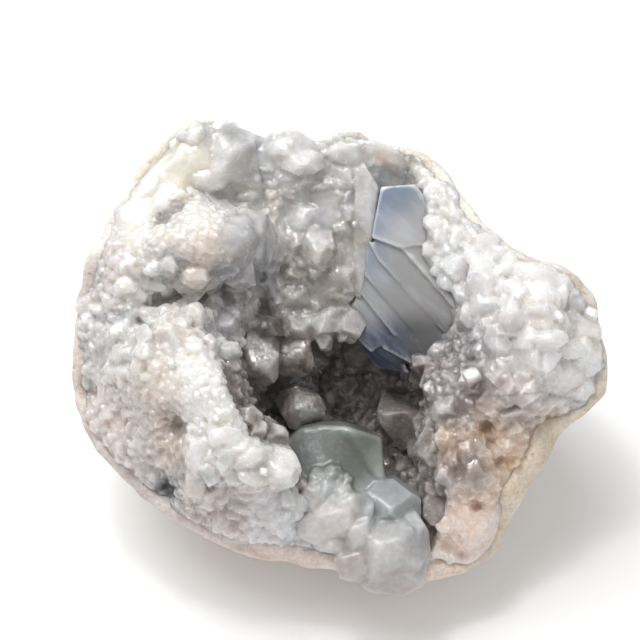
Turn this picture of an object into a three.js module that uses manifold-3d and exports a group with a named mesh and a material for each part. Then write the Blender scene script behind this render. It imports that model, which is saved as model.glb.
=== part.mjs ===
// A celestite geode: a pale limestone nodule, broken open across its hollow and lined with
// celestite crystals. Millimetres, +Z up. It rests on a small flat spot at Z = 0, and the
// origin is the centre of that spot.
//
// Everything is shaped in the frame of the opened face: x to the right, y up the face and z
// out of the hollow. The whole geode then leans back, so that the face looks up and forward.

import * as THREE from "three";
import { ConvexGeometry } from "three/addons/geometries/ConvexGeometry.js";
import { ImprovedNoise } from "three/addons/math/ImprovedNoise.js";
import { MeshSurfaceSampler } from "three/addons/math/MeshSurfaceSampler.js";
import { mergeVertices } from "three/addons/utils/BufferGeometryUtils.js";
import Module from "manifold-3d";

// ---- Driving dimensions ----

const FACE_LEAN = 50; // degrees that the opened face's normal points above the horizon
const FACE_CENTRE = [-4.2, -2.5, 53]; // the face's centre, seen from the middle of the flat spot
const NODULE_DEPTH = 57; // from the face's plane to the back of the nodule
const NODULE_FRONT = 45; // how far the nodule reached forward before it broke
const NODULE_FULLNESS = 2.3; // exponent of the nodule's profile; 2 is an ellipse
const NODULE_LUMPS = { share: 0.06, size: 0.55 }; // height and size, as shares of its radius
const CRUST_THICKNESS = 5; // massive celestite under the free crystals
const LINING_THICKNESS = 4; // the same on the walls of the chamber
const CHAMBER_FLOOR = -24; // depth of the chamber's straight part
const FACET_ALLOWANCE = 0.5; // added to the edge, because facets cut its corners
const CONTACT_GAP = 0.3; // kept between touching pieces
const CRYSTAL_ROOT = 2.5; // how deep a free crystal's foot sits in the crust
const FOOT_MARGIN = 4; // how far inside the crust's edge the free crystals stand
const CRUST_GRID = 6; // size of the small facets of the crust
const ROCK_GRID = 8; // size of the facets where the rock was broken
const RELIEF_REACH = 5; // how far each listed height of the face is felt
const BEYOND = 150; // wider than the nodule, for what is cut away from it
const EDGE_STEPS = 3600; // points along the edge's curve
const FEET_TRIED = 9000; // places that are tried for the free crystals' feet
const FINENESS = { rock: 8, crust: 6, space: 3, pocket: 1 }; // subdivisions of the rounded forms

// The nodule's edge in the plane of the face, clockwise from the upper left: [x, y, edge height].
const EDGE = [
  [-34.5, 51.8, -6], [-29.9, 52.9, -7], [-23.2, 51.8, -7], [-18.2, 49.1, -9], [-14.9, 50.2, -8],
  [-9.7, 50.6, -7], [-6.8, 48.7, -8], [-2.9, 48.8, -8], [2, 50.2, -7], [6.1, 49.7, -7],
  [8.8, 48, -7], [15.1, 46.4, -6], [20.7, 43.7, -5], [25.2, 38.3, -4], [29.7, 32, -2],
  [35.8, 25.2, 0], [41, 21.4, 1], [50, 18, 2], [54.5, 14.4, 2], [57.2, 9.5, 1],
  [58.5, 2.7, 1], [60.1, -2.9, 0], [59.9, -8.1, 0], [58.3, -10.8, -1], [51.3, -17.1, -3],
  [43.2, -29.3, -4], [37.6, -41.2, -5], [34.9, -46.8, -5], [29.7, -49.1, -5], [20.7, -50.2, -2],
  [15.1, -52.4, 1], [9.5, -52, 2], [1.6, -48.8, 0], [-8.6, -47.7, -2], [-18.7, -45.5, -4],
  [-31.1, -41, -5], [-46.8, -28.6, -5], [-54.7, -21.2, -4], [-59, -11.9, -4], [-60.3, -5.2, -3],
  [-59.6, 7.2, -3], [-57.8, 14.4, -3], [-51.3, 29.7, -4], [-46.8, 37.1, -5], [-45, 40.5, -6],
  [-42.3, 45, -6],
];

// Width of bare rind outside the crust, by direction from the face's centre: [degrees, width].
const BARE_RIND = [
  [0, 3], [40, 5], [62, 6], [85, 4], [105, 3], [125, 9], [140, 7], [160, 3], [185, 2.5],
  [215, 3], [250, 4.5], [272, 3.5], [285, 2], [300, 4], [325, 7], [345, 5],
];

// Heights of the opened face inside its edge, feature by feature: [x, y, height].
const RELIEF = {
  innerEdge: [
    [-53.5, 5, 5], [-54.5, -8.5, 4], [-49, -20, 4], [-40, -31, 4], [-26.5, -39.5, 4],
    [-11, -43.5, 5], [-51.5, 18.5, 5], [-47, 28.5, 4], [-40, 38.5, -2],
  ],
  upperLeftMass: [
    [-38, 27.5, 11], [-29, 23, 12], [-47, 16, 9], [-42.5, 20.5, 11], [-23, 26.5, 9],
    [-33.5, 34, 8],
  ],
  upperCrevice: [[-27.5, 37, -9], [-20, 35.5, -11], [-34.5, 38.5, -4]],
  topLump: [[-30, 45.5, -2], [-22, 44.5, -4]],
  lowerCrevice: [[-43, 11, 1], [-36, 13, -3], [-30, 12.5, -5], [-25, 9, -8]],
  leftRidge: [
    [-39, 5, 11], [-34.5, 7, 15], [-27.5, -5, 18], [-22, -13, 19], [-16.5, -20, 19],
    [-12, -26.5, 17], [-31, -17.5, 15],
  ],
  lowerLeft: [
    [-42.5, -6.5, 12], [-42.5, -20, 10], [-31, -29, 10], [-21, -34.5, 9], [-11, -38, 9],
  ],
  topRim: [[-11, 45.5, -4], [1.5, 45.5, -6], [13, 42, -9]],
  backWall: [
    [-8.5, 38.5, -9], [1.5, 36.5, -10], [-13, 31, -12], [-6.5, 31, -10], [0.5, 25, -12],
    [-15.5, 20.5, -15], [-6.5, 14, -14], [1.5, 9.5, -15], [-20, 7, -15], [-13, 1.5, -16],
    [-4, 1.5, -17],
  ],
  crystalBed: [
    [14, 34, -12], [20.5, 26, -9], [11.5, 20.5, -14], [24, 14, -10], [9.5, 7, -16],
    [19, 1, -14], [28, 5, -8], [27, 19, -6],
  ],
  rightRim: [
    [26.5, 31, -1], [32, 23, 6], [25, 24, 1], [38.5, 16, 11], [47.5, 11.5, 11],
    [37.5, 5, 12], [33, 15, 6], [53.5, 5, 7], [45.5, 0.5, 12], [56, -4, 4],
    [41, -7.5, 11], [29.5, -7.5, 8], [22, -8.5, 3],
  ],
  rightWall: [
    [22, -17.5, 3], [28, -17.5, 7], [41, -17.5, 6], [50, -13, 3], [24, -29, 4],
    [32, -29, 6], [41, -24.5, 3], [25, -40, 4], [32, -40, 2], [25, -47, 0],
  ],
  chamberMouth: [[-2, -7.5, -20], [9.5, -11, -18], [-8.5, -11, -18], [5, -20, -12]],
  lowerSill: [
    [0.5, -28, -2], [-6.5, -32, 5], [7, -34, 5], [-0.5, -39, 7], [10.5, -43, 8],
    [2.5, -47, 4], [16, -47, 3],
  ],
};

// The chamber's mouth, clockwise from its left end: [x, y].
const MOUTH = [
  [-20.7, 0], [-12, -1.5], [-4, 0.5], [3, 1], [9, -1], [16.5, -6.5], [19, -14], [20.5, -24],
  [20.5, -34], [14, -33], [3, -31.5], [-4.5, -28.8], [-9, -23], [-14, -15], [-19, -6],
];

// The deeper pockets of the chamber: centre and half sizes.
const POCKETS = [
  { at: [-8.5, -11, -24], half: [11, 10, 13] },
  { at: [4, -11, -27], half: [13, 11, 14] },
  { at: [13, -21, -22], half: [7, 12, 12] },
  { at: [-2, -4, -32], half: [13, 10, 9] },
  { at: [18.5, -34, -3], half: [2.5, 7, 9] },
];

// Spacing of the free crystals, by zone: centre, reach and spacing. None grow in a crevice or
// under a large crystal.
const USUAL_SPACING = 9;
const DRUSE_ZONES = {
  upperCrevice: { at: [-26, 35.5], reach: 6.5, spacing: Infinity },
  lowerCrevice: { at: [-37, 12], reach: 6, spacing: Infinity },
  blueCrystalTop: { at: [16, 26], reach: 13, spacing: Infinity },
  blueCrystalSide: { at: [6, 17], reach: 6, spacing: Infinity },
  blueCrystalFoot: { at: [18, 7], reach: 11, spacing: Infinity },
  frontCrystals: { at: [1, -27], reach: 10, spacing: Infinity },
  lowestCrystal: { at: [9, -43], reach: 10, spacing: Infinity },
  fissure: { at: [17, -35], reach: 6, spacing: Infinity },
  leftRidge: { at: [-24, -10], reach: 14, spacing: 7.5 },
  backWall: { at: [-5, 22], reach: 14, spacing: 10 },
  rightRim: { at: [40, 8], reach: 16, spacing: 8.5 },
  rightWall: { at: [32, -30], reach: 18, spacing: 11 },
};
const CHAMBER_SPACING = 13; // inside the chamber

// Round clusters and stout single crystals that stand out: centre and half sizes.
const CLUSTERS = [
  { at: [-6.3, 30.8, -9], half: [6.5, 6.5, 5] },
  { at: [-11, 45.5, -7], half: [7, 6, 5.5] },
  { at: [2.5, 45.5, -7], half: [6, 5, 5] },
  { at: [-19, 25, 1], half: [5, 8, 7] },
  { at: [35.5, 8.3, 10], half: [6, 5, 6] },
  { at: [-12, -26, 14], half: [5.5, 6, 5] },
  { at: [-12.5, -1, -13], half: [6, 6, 6] },
  { at: [-8, -12.5, -27], half: [4.5, 5, 8] },
  { at: [-29, 44, -7], half: [8, 8, 7] },
];

// The large crystals, blade by blade: [x, y, z] corners in front, and how deep the blade roots.
const BLUE_BLADES = [
  {
    front: [
      [10.1, 38.2, -9], [17, 38.2, -8], [24.8, 28.5, -3], [32.4, 7, -1], [27.3, 8.6, -2],
      [14.4, 23.9, -5], [7.8, 25.4, -9],
    ],
    root: -25,
  },
  {
    front: [
      [6.8, 25.2, -11.5], [14.2, 23.6, -7], [27.5, 8.8, -3.5], [31, 3.6, -4.5], [21.8, 6.2, -7],
      [9, 21.2, -11],
    ],
    root: -26,
  },
  {
    front: [
      [9, 21.4, -11.5], [6.2, 22.4, -13], [5.2, 17.8, -14], [6.4, 13.2, -14.5], [12.6, 7.8, -12.5],
      [19.6, 1.5, -9.5], [24.5, 0, -7.5], [22, 6.4, -7.5],
    ],
    root: -27,
  },
  {
    front: [
      [6.6, 13.4, -15.5], [3.8, 14.2, -16.5], [2.8, 10.5, -17], [2.7, 4.5, -17.5], [9, 2, -16.5],
      [19, -1.2, -11.5], [12.8, 8, -13.5],
    ],
    root: -28,
  },
  {
    front: [
      [2.7, 3.8, -18], [12.8, 0.5, -15], [23, -2.7, -10.5], [17.3, -7.4, -19], [9.5, -4.5, -22],
    ],
    root: -29,
  },
];
const FRONT_BLADES = [
  {
    front: [
      [-10.4, -22.5, -6], [-7.4, -18, -7], [1.6, -17.3, -5], [10.1, -19.8, -4], [11, -28.8, 2],
      [5, -33.3, 5], [-6.3, -33.3, 5],
    ],
    root: -20,
  },
  {
    front: [
      [2.7, -33.3, 6], [10, -31.5, 5], [16.2, -31.5, 3], [19.3, -40, 5], [20, -48, 4], [14, -52, 5],
      [6, -51, 6], [0.5, -46.8, 8], [5, -40, 12], [13, -42, 11],
    ],
    root: -10,
  },
  {
    front: [[-8.6, -34.4, 8], [1.6, -33.3, 9], [2.7, -43.4, 10], [-6.3, -44.6, 8]],
    root: -4,
  },
  {
    front: [[-9.7, -28.5, 5], [-3, -27.5, 7], [0.5, -33, 9], [-4, -37, 9], [-9, -35, 8]],
    root: -4,
  },
];

const wasm = await Module();
wasm.setup();

// ---- Helpers: solids, chance and noise ----

// A closed geometry as a solid that can be cut and joined.
function solidOf(geometry) {
  const bare = geometry.clone();
  bare.deleteAttribute("normal");
  bare.deleteAttribute("uv");
  const merged = mergeVertices(bare, 1e-4);
  const corners = merged.index.array;
  const kept = [];
  for (let i = 0; i < corners.length; i += 3) {
    const [a, b, c] = corners.slice(i, i + 3);
    if (a !== b && b !== c && c !== a) kept.push(a, b, c);
  }
  return new wasm.Manifold(new wasm.Mesh({
    numProp: 3,
    vertProperties: merged.attributes.position.array,
    triVerts: Uint32Array.from(kept),
  }));
}

// A solid as a geometry that can be drawn.
function geometryOf(solid) {
  const mesh = solid.getMesh();
  const geometry = new THREE.BufferGeometry();
  geometry.setAttribute("position", new THREE.BufferAttribute(mesh.vertProperties, 3));
  geometry.setIndex(new THREE.BufferAttribute(mesh.triVerts, 1));
  geometry.computeVertexNormals();
  return geometry;
}

const joined = (solids) => solids.reduce((whole, solid) => whole.add(solid));
const largestPiece = (solid) =>
  solid.decompose().reduce((best, piece) => (piece.volume() > best.volume() ? piece : best));

// Repeatable chance: the same numbers from 0 to 1 on every run.
function chanceFrom(seed) {
  let state = seed;
  return () => {
    state = (state + 0x6d2b79f5) | 0;
    let t = Math.imul(state ^ (state >>> 15), 1 | state);
    t = (t + Math.imul(t ^ (t >>> 7), 61 | t)) ^ t;
    return ((t ^ (t >>> 14)) >>> 0) / 4294967296;
  };
}

const perlin = new ImprovedNoise();

// Rough value from about -1 to 1, with lumps of the given size and two finer layers.
function roughness(x, y, z, size) {
  return perlin.noise(x / size, y / size, z / size)
    + 0.5 * perlin.noise((2.1 * x) / size + 7, (2.1 * y) / size, (2.1 * z) / size)
    + 0.25 * perlin.noise((4.3 * x) / size, (4.3 * y) / size + 3, (4.3 * z) / size);
}

const smooth = (low, high, value) => THREE.MathUtils.smoothstep(value, low, high);
const directionOf = (x, y) => (THREE.MathUtils.radToDeg(Math.atan2(y, x)) + 360) % 360;

// ---- The opened face ----

// Distance of the nodule's edge from the face's centre, degree by degree.
function edgeRadii() {
  const curve = new THREE.CatmullRomCurve3(
    EDGE.map(([x, y]) => new THREE.Vector3(x, y, 0)), true, "centripetal",
  );
  const radii = new Array(360).fill(0);
  for (const { x, y } of curve.getPoints(EDGE_STEPS)) {
    const degree = Math.round(directionOf(x, y)) % 360;
    radii[degree] = Math.max(radii[degree], Math.hypot(x, y));
  }
  return radii;
}
const EDGE_RADII = edgeRadii();

function edgeRadius(x, y) {
  const degrees = directionOf(x, y);
  const before = Math.floor(degrees) % 360;
  return THREE.MathUtils.lerp(EDGE_RADII[before], EDGE_RADII[(before + 1) % 360], degrees % 1);
}

function bareRind(x, y) {
  const degrees = directionOf(x, y);
  const at = BARE_RIND.findLastIndex(([from]) => from <= degrees);
  const [from, width] = BARE_RIND[at];
  const [to, nextWidth] = BARE_RIND[(at + 1) % BARE_RIND.length];
  const share = (degrees - from) / ((to - from + 360) % 360);
  return THREE.MathUtils.lerp(width, nextWidth, share);
}

// How far a point of the face lies inside the crust's edge; negative on the bare rind.
const insideCrust = (x, y) => edgeRadius(x, y) - bareRind(x, y) - Math.hypot(x, y);

const HEIGHTS = [...EDGE, ...Object.values(RELIEF).flat()];

// Height of the opened face, from the listed heights near by.
function faceHeight(x, y) {
  let weights = 1e-9;
  let total = 0;
  for (const [px, py, height] of HEIGHTS) {
    const weight = Math.exp(-((x - px) ** 2 + (y - py) ** 2) / (2 * RELIEF_REACH ** 2));
    weights += weight;
    total += weight * height;
  }
  return total / weights;
}

// Height of the rock under the crust. On the bare rind it is the face itself.
function rockHeight(x, y) {
  const depth = insideCrust(x, y);
  const cover = 2 * smooth(-3, 0, depth) + (CRUST_THICKNESS - 2) * smooth(0, 6, depth);
  return faceHeight(x, y) - cover;
}

// Everything in front of a surface given by its height. Unevenness shifts its corners about,
// as a share of the grid, so that its facets look like small crystals.
function inFrontOf(height, grid, unevenness) {
  const parts = Math.round(BEYOND / grid);
  const block = new THREE.BoxGeometry(BEYOND, BEYOND, BEYOND, parts, parts, 1);
  const places = block.attributes.position;
  for (let i = 0; i < places.count; i++) {
    const [x, y, z] = [places.getX(i), places.getY(i), places.getZ(i)];
    const chance = chanceFrom(Math.round(1000 * x + 37 * y));
    const inner = Math.max(Math.abs(x), Math.abs(y)) < BEYOND / 2 - 1 && z < 0;
    const shift = inner ? unevenness * grid : 0;
    places.setX(i, x + shift * (chance() - 0.5));
    places.setY(i, y + shift * (chance() - 0.5));
    places.setZ(i, z > 0 ? z : height(x, y) + shift * (chance() - 0.5));
  }
  return solidOf(block);
}

// ---- The nodule ----

// The whole nodule before it broke, smaller all round by an inset given by direction.
function nodule(inset, detail, lumps) {
  const ball = new THREE.IcosahedronGeometry(1, detail);
  const places = ball.attributes.position;
  for (let i = 0; i < places.count; i++) {
    const [a, b, c] = [places.getX(i), places.getY(i), places.getZ(i)];
    const side = Math.hypot(a, b);
    const full = (side ** NODULE_FULLNESS + Math.abs(c) ** NODULE_FULLNESS)
      ** (-1 / NODULE_FULLNESS);
    const radius = edgeRadius(a, b) + FACET_ALLOWANCE - inset(a, b);
    const rough = 1 + lumps * smooth(0.05, 0.5, Math.abs(c)) * roughness(a, b, c, NODULE_LUMPS.size);
    const depth = c < 0 ? NODULE_DEPTH : NODULE_FRONT;
    places.setXYZ(i, full * rough * a * radius, full * rough * b * radius, full * rough * c * depth);
  }
  return solidOf(ball);
}

// ---- The chamber ----

// The chamber's empty space, grown outwards to give its lining and the hole in the rock.
function chamber(grow) {
  const middle = MOUTH.reduce((sum, [x, y]) => [sum[0] + x, sum[1] + y], [0, 0])
    .map((total) => total / MOUTH.length);
  const outline = MOUTH.map(([x, y]) => {
    const [dx, dy] = [x - middle[0], y - middle[1]];
    const share = 1 + grow / Math.hypot(dx, dy);
    return new THREE.Vector2(middle[0] + dx * share, middle[1] + dy * share);
  });
  const shaft = new THREE.ExtrudeGeometry(new THREE.Shape(outline), {
    depth: BEYOND / 2, bevelEnabled: false,
  });
  shaft.translate(0, 0, CHAMBER_FLOOR - grow);
  const pockets = POCKETS.map(({ at, half }) => {
    const pocket = new THREE.IcosahedronGeometry(1, FINENESS.pocket);
    pocket.scale(...half.map((size) => size + grow));
    pocket.translate(...at);
    return solidOf(pocket);
  });
  return joined([solidOf(shaft), ...pockets]);
}

// ---- Crystals ----

// A large crystal, made of blades that grew together, each corner moved outwards by grow.
function bladedCrystal(blades, grow) {
  return joined(blades.map(({ front, root }) => {
    const corners = front.flatMap(([x, y, z]) =>
      [new THREE.Vector3(x, y, z), new THREE.Vector3(x, y, root)]);
    const middle = corners.reduce((sum, corner) => sum.add(corner), new THREE.Vector3())
      .divideScalar(corners.length);
    for (const corner of corners) {
      const outward = corner.clone().sub(middle).normalize();
      corner.addScaledVector(outward, grow);
    }
    return solidOf(new ConvexGeometry(corners));
  }));
}

// A round cluster, as one many-sided form.
function roundCluster({ at, half }, chance) {
  const form = new THREE.IcosahedronGeometry(1, 0);
  form.rotateX(chance() * Math.PI);
  form.rotateZ(chance() * Math.PI);
  form.scale(...half);
  form.translate(...at);
  return solidOf(form);
}

// A stout crystal standing on its foot: a prism of four or six sides with a chisel end.
function crystalForm(width, thickness, length, sides, chance) {
  const corners = [];
  const shoulder = length * (0.15 + 0.25 * chance());
  for (let i = 0; i < sides; i++) {
    const turn = ((i + 0.5 + 0.15 * (chance() - 0.5)) / sides) * 2 * Math.PI;
    const [x, y] = [0.6 * width * Math.cos(turn), 0.6 * thickness * Math.sin(turn)];
    corners.push(new THREE.Vector3(0.9 * x, 0.9 * y, -CRYSTAL_ROOT));
    corners.push(new THREE.Vector3(x, y, shoulder * (0.9 + 0.2 * chance())));
  }
  const ridge = width * (0.12 + 0.16 * chance());
  corners.push(new THREE.Vector3(-ridge, 0, length));
  corners.push(new THREE.Vector3(ridge, 0.1 * thickness, length * 0.96));
  return new ConvexGeometry(corners);
}

function spacingAt({ x, y, z }) {
  if (z < faceHeight(x, y) - 4) return CHAMBER_SPACING;
  const zone = Object.values(DRUSE_ZONES).find(
    ({ at, reach }) => Math.hypot(x - at[0], y - at[1]) < reach,
  );
  return zone ? zone.spacing : USUAL_SPACING;
}

// Free crystals all over the skin of an open space, at their spacing, pointing into it.
function druse(openSpace, seed) {
  const chance = chanceFrom(seed);
  const sampler = new MeshSurfaceSampler(new THREE.Mesh(geometryOf(openSpace).toNonIndexed()));
  sampler.setRandomGenerator(chance).build();
  const feet = [];
  for (let i = 0; i < FEET_TRIED; i++) {
    const at = new THREE.Vector3();
    const inward = new THREE.Vector3();
    sampler.sample(at, inward);
    const spacing = spacingAt(at) * (0.85 + 0.3 * chance());
    const free = spacing < Infinity
      && insideCrust(at.x, at.y) > FOOT_MARGIN
      && feet.every((foot) => foot.at.distanceTo(at) > (spacing + foot.spacing) / 2);
    if (free) feet.push({ at, out: inward.negate(), spacing });
  }
  const up = new THREE.Vector3(0, 0, 1);
  return feet.map(({ at, out, spacing }) => {
    const lean = new THREE.Vector3(chance() - 0.5, chance() - 0.5, chance() - 0.5);
    const direction = out.addScaledVector(lean, 0.7).normalize();
    const sides = chance() < 0.2 ? 6 : 4;
    const width = spacing * (1.1 + 0.35 * chance());
    const thickness = width * (0.7 + 0.25 * chance());
    const length = spacing * (0.3 + 0.3 * chance());
    const form = crystalForm(width, thickness, length, sides, chance);
    const spin = new THREE.Quaternion().setFromAxisAngle(up, chance() * 2 * Math.PI);
    form.applyQuaternion(new THREE.Quaternion().setFromUnitVectors(up, direction).multiply(spin));
    form.translate(at.x, at.y, at.z);
    return solidOf(form);
  });
}

// ---- Build ----

const geode = new THREE.Group();
geode.rotation.x = THREE.MathUtils.degToRad(90 - FACE_LEAN);
geode.position.set(...FACE_CENTRE);
geode.updateMatrix();

const openFront = inFrontOf(faceHeight, CRUST_GRID, 0.5).add(chamber(0));
const rockFront = inFrontOf(rockHeight, ROCK_GRID, 0);

// The surface that the geode rests on, seen from the face.
function ground() {
  const slab = new THREE.BoxGeometry(BEYOND, BEYOND, BEYOND);
  slab.translate(0, 0, -BEYOND / 2);
  slab.applyMatrix4(geode.matrix.clone().invert());
  return solidOf(slab);
}

function makeRock() {
  return nodule(() => 0, FINENESS.rock, NODULE_LUMPS.share)
    .subtract(rockFront)
    .subtract(chamber(LINING_THICKNESS + CONTACT_GAP))
    .subtract(ground());
}

// The rock's space with the contact gap round it, and more behind it, which everything else
// keeps out of.
function rockSpace() {
  const raised = inFrontOf((x, y) => rockHeight(x, y) + CONTACT_GAP, ROCK_GRID, 0);
  return nodule(() => -12, FINENESS.space, 0).subtract(raised).subtract(chamber(LINING_THICKNESS));
}

function makeCrust() {
  const chance = chanceFrom(5);
  const bed = nodule(bareRind, FINENESS.crust, 0).subtract(openFront);
  const clusters = CLUSTERS.map((cluster) => roundCluster(cluster, chance));
  const grown = joined([bed, ...clusters, ...druse(openFront, 11)]);
  return largestPiece(
    grown
      .subtract(rockSpace())
      .subtract(bladedCrystal(BLUE_BLADES, 2 * CONTACT_GAP))
      .subtract(bladedCrystal(FRONT_BLADES, 2 * CONTACT_GAP)),
  );
}

const makeLargeCrystal = (blades) =>
  largestPiece(bladedCrystal(blades, 0).subtract(rockSpace()));

const finish = (color, roughness) =>
  new THREE.MeshStandardMaterial({ color, roughness, metalness: 0, flatShading: true });

function piece(name, solid, material) {
  const mesh = new THREE.Mesh(geometryOf(solid), material);
  mesh.name = name;
  return mesh;
}

geode.add(piece("rock_shell", makeRock(), finish(0xd8cbb8, 0.9)));
geode.add(piece("crystal_crust", makeCrust(), finish(0xd5d9dc, 0.4)));
geode.add(piece("blue_crystal", makeLargeCrystal(BLUE_BLADES), finish(0x8fa3bd, 0.15)));
geode.add(piece("front_crystals", makeLargeCrystal(FRONT_BLADES), finish(0xb9c9c4, 0.2)));

export default geode;
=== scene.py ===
"""The looks of the celestite geode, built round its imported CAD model.

Shapes are worked out in millimetres in the frame of the opened face, as in the CAD source:
x to the right, y up the face, z out of the hollow. They go into the row frame, in metres,
when their meshes are made.
"""

import math
from collections import namedtuple

import bmesh
import bpy
import numpy as np
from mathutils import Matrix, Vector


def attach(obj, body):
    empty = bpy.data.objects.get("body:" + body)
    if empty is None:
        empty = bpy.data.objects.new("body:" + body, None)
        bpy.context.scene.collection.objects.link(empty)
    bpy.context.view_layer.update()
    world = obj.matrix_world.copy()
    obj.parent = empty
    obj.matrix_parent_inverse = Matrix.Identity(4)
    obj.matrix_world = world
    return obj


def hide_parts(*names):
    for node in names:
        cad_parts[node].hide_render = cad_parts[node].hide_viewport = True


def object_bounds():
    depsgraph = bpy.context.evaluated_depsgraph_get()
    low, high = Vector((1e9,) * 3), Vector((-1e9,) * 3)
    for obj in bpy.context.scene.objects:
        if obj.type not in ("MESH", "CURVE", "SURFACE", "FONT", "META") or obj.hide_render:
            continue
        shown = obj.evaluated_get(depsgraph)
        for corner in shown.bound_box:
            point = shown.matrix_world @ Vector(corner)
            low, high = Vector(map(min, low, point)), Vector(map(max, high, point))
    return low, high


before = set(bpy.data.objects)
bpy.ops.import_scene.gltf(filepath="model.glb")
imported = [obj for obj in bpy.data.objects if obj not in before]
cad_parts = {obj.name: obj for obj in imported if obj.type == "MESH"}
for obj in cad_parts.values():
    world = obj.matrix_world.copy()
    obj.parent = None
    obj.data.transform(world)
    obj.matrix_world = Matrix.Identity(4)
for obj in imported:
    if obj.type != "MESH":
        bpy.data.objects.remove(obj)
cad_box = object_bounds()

import openvdb as vdb
from mathutils import Vector, kdtree

# ---- Sizes of the CAD source, in millimetres ----

FACE_LEAN = math.radians(50)  # angle of the opened face's normal above the horizon
LEAN_SINE = math.sin(FACE_LEAN)
LEAN_COSINE = math.cos(FACE_LEAN)
FACE_CENTRE = (-4.2, -2.5, 53)
NODULE_DEPTH = 57
NODULE_FRONT = 45
NODULE_FULLNESS = 2.3
FACET_ALLOWANCE = 0.5
CRUST_THICKNESS = 5
CRUST_EDGE = 1  # thickness at the crust's edge
EDGE_SLOPE = (-1, 1)  # inside the edge, where that begins and is full
CRUST_SLOPE = (0, 6)  # inside the edge, where the rest begins and is full
LINING_THICKNESS = 4
CHAMBER_FLOOR = -24
RELIEF_REACH = 5

# The nodule's edge in the plane of the face, clockwise from the upper left: x, y, height.
EDGE = [
    (-34.5, 51.8, -6), (-29.9, 52.9, -7), (-23.2, 51.8, -7), (-18.2, 49.1, -9),
    (-14.9, 50.2, -8), (-9.7, 50.6, -7), (-6.8, 48.7, -8), (-2.9, 48.8, -8), (2, 50.2, -7),
    (6.1, 49.7, -7), (8.8, 48, -7), (15.1, 46.4, -6), (20.7, 43.7, -5), (25.2, 38.3, -4),
    (29.7, 32, -2), (35.8, 25.2, 0), (41, 21.4, 1), (50, 18, 2), (54.5, 14.4, 2),
    (57.2, 9.5, 1), (58.5, 2.7, 1), (60.1, -2.9, 0), (59.9, -8.1, 0), (58.3, -10.8, -1),
    (51.3, -17.1, -3), (43.2, -29.3, -4), (37.6, -41.2, -5), (34.9, -46.8, -5),
    (29.7, -49.1, -5), (20.7, -50.2, -2), (15.1, -52.4, 1), (9.5, -52, 2), (1.6, -48.8, 0),
    (-8.6, -47.7, -2), (-18.7, -45.5, -4), (-31.1, -41, -5), (-46.8, -28.6, -5),
    (-54.7, -21.2, -4), (-59, -11.9, -4), (-60.3, -5.2, -3), (-59.6, 7.2, -3),
    (-57.8, 14.4, -3), (-51.3, 29.7, -4), (-46.8, 37.1, -5), (-45, 40.5, -6), (-42.3, 45, -6),
]

# Width of bare rind outside the crust, by direction from the face's centre: degrees, width.
BARE_RIND = [
    (0, 1.5), (30, 1.2), (52, 1.5), (62, 1), (72, 0.5), (85, 0), (105, 0), (115, 0.5),
    (125, 0.8), (145, 0.8), (155, 1), (185, 1.5), (215, 1.5), (250, 3), (272, 2.5), (285, 1.5),
    (300, 3), (325, 4.5), (345, 3),
]

# Heights of the opened face inside its edge, feature by feature: x, y, height.
RELIEF = {
    "inner_edge": [
        (-53.5, 5, 5), (-54.5, -8.5, 4), (-49, -20, 4), (-40, -31, 4), (-26.5, -39.5, 4),
        (-11, -43.5, 5), (-51.5, 18.5, 5), (-47, 28.5, 4), (-40, 38.5, -2),
    ],
    "upper_left_mass": [
        (-38, 27.5, 11), (-29, 23, 12), (-47, 16, 9), (-42.5, 20.5, 11), (-23, 26.5, 9),
        (-33.5, 34, 8),
    ],
    "upper_crevice": [(-27.5, 37, -9), (-20, 35.5, -11), (-34.5, 38.5, -4)],
    "top_lump": [(-30, 45.5, -2), (-22, 44.5, -4)],
    "lower_crevice": [(-43, 11, 1), (-36, 13, -3), (-30, 12.5, -5), (-25, 9, -8)],
    "left_ridge": [
        (-39, 5, 11), (-34.5, 7, 15), (-27.5, -5, 18), (-22, -13, 19), (-16.5, -20, 19),
        (-12, -26.5, 17), (-31, -17.5, 15),
    ],
    "lower_left": [
        (-42.5, -6.5, 12), (-42.5, -20, 10), (-31, -29, 10), (-21, -34.5, 9), (-11, -38, 9),
    ],
    "top_rim": [(-11, 45.5, -4), (1.5, 45.5, -6), (13, 42, -9)],
    "back_wall": [
        (-8.5, 38.5, -9), (1.5, 36.5, -10), (-13, 31, -12), (-6.5, 31, -10), (0.5, 25, -12),
        (-15.5, 20.5, -15), (-6.5, 14, -14), (1.5, 9.5, -15), (-20, 7, -15), (-13, 1.5, -16),
        (-4, 1.5, -17),
    ],
    "crystal_bed": [
        (14, 34, -12), (20.5, 26, -9), (11.5, 20.5, -14), (24, 14, -10), (9.5, 7, -16),
        (19, 1, -14), (28, 5, -8), (27, 19, -6),
    ],
    "right_rim": [
        (26.5, 31, -1), (32, 23, 6), (25, 24, 1), (38.5, 16, 11), (47.5, 11.5, 11),
        (37.5, 5, 12), (33, 15, 6), (53.5, 5, 7), (45.5, 0.5, 12), (56, -4, 4),
        (41, -7.5, 11), (29.5, -7.5, 8), (22, -8.5, 3),
    ],
    "right_wall": [
        (22, -17.5, 3), (28, -17.5, 7), (41, -17.5, 6), (50, -13, 3), (24, -29, 4),
        (32, -29, 6), (41, -24.5, 3), (25, -40, 4), (32, -40, 2), (25, -47, 0),
    ],
    "chamber_mouth": [(-2, -7.5, -20), (9.5, -11, -18), (-8.5, -11, -18), (5, -20, -12)],
    "lower_sill": [
        (0.5, -28, -2), (-6.5, -32, 5), (7, -34, 5), (-0.5, -39, 7), (10.5, -43, 8),
        (2.5, -47, 4), (16, -47, 3),
    ],
}
HEIGHTS = EDGE + [control for feature in RELIEF.values() for control in feature]

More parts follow.
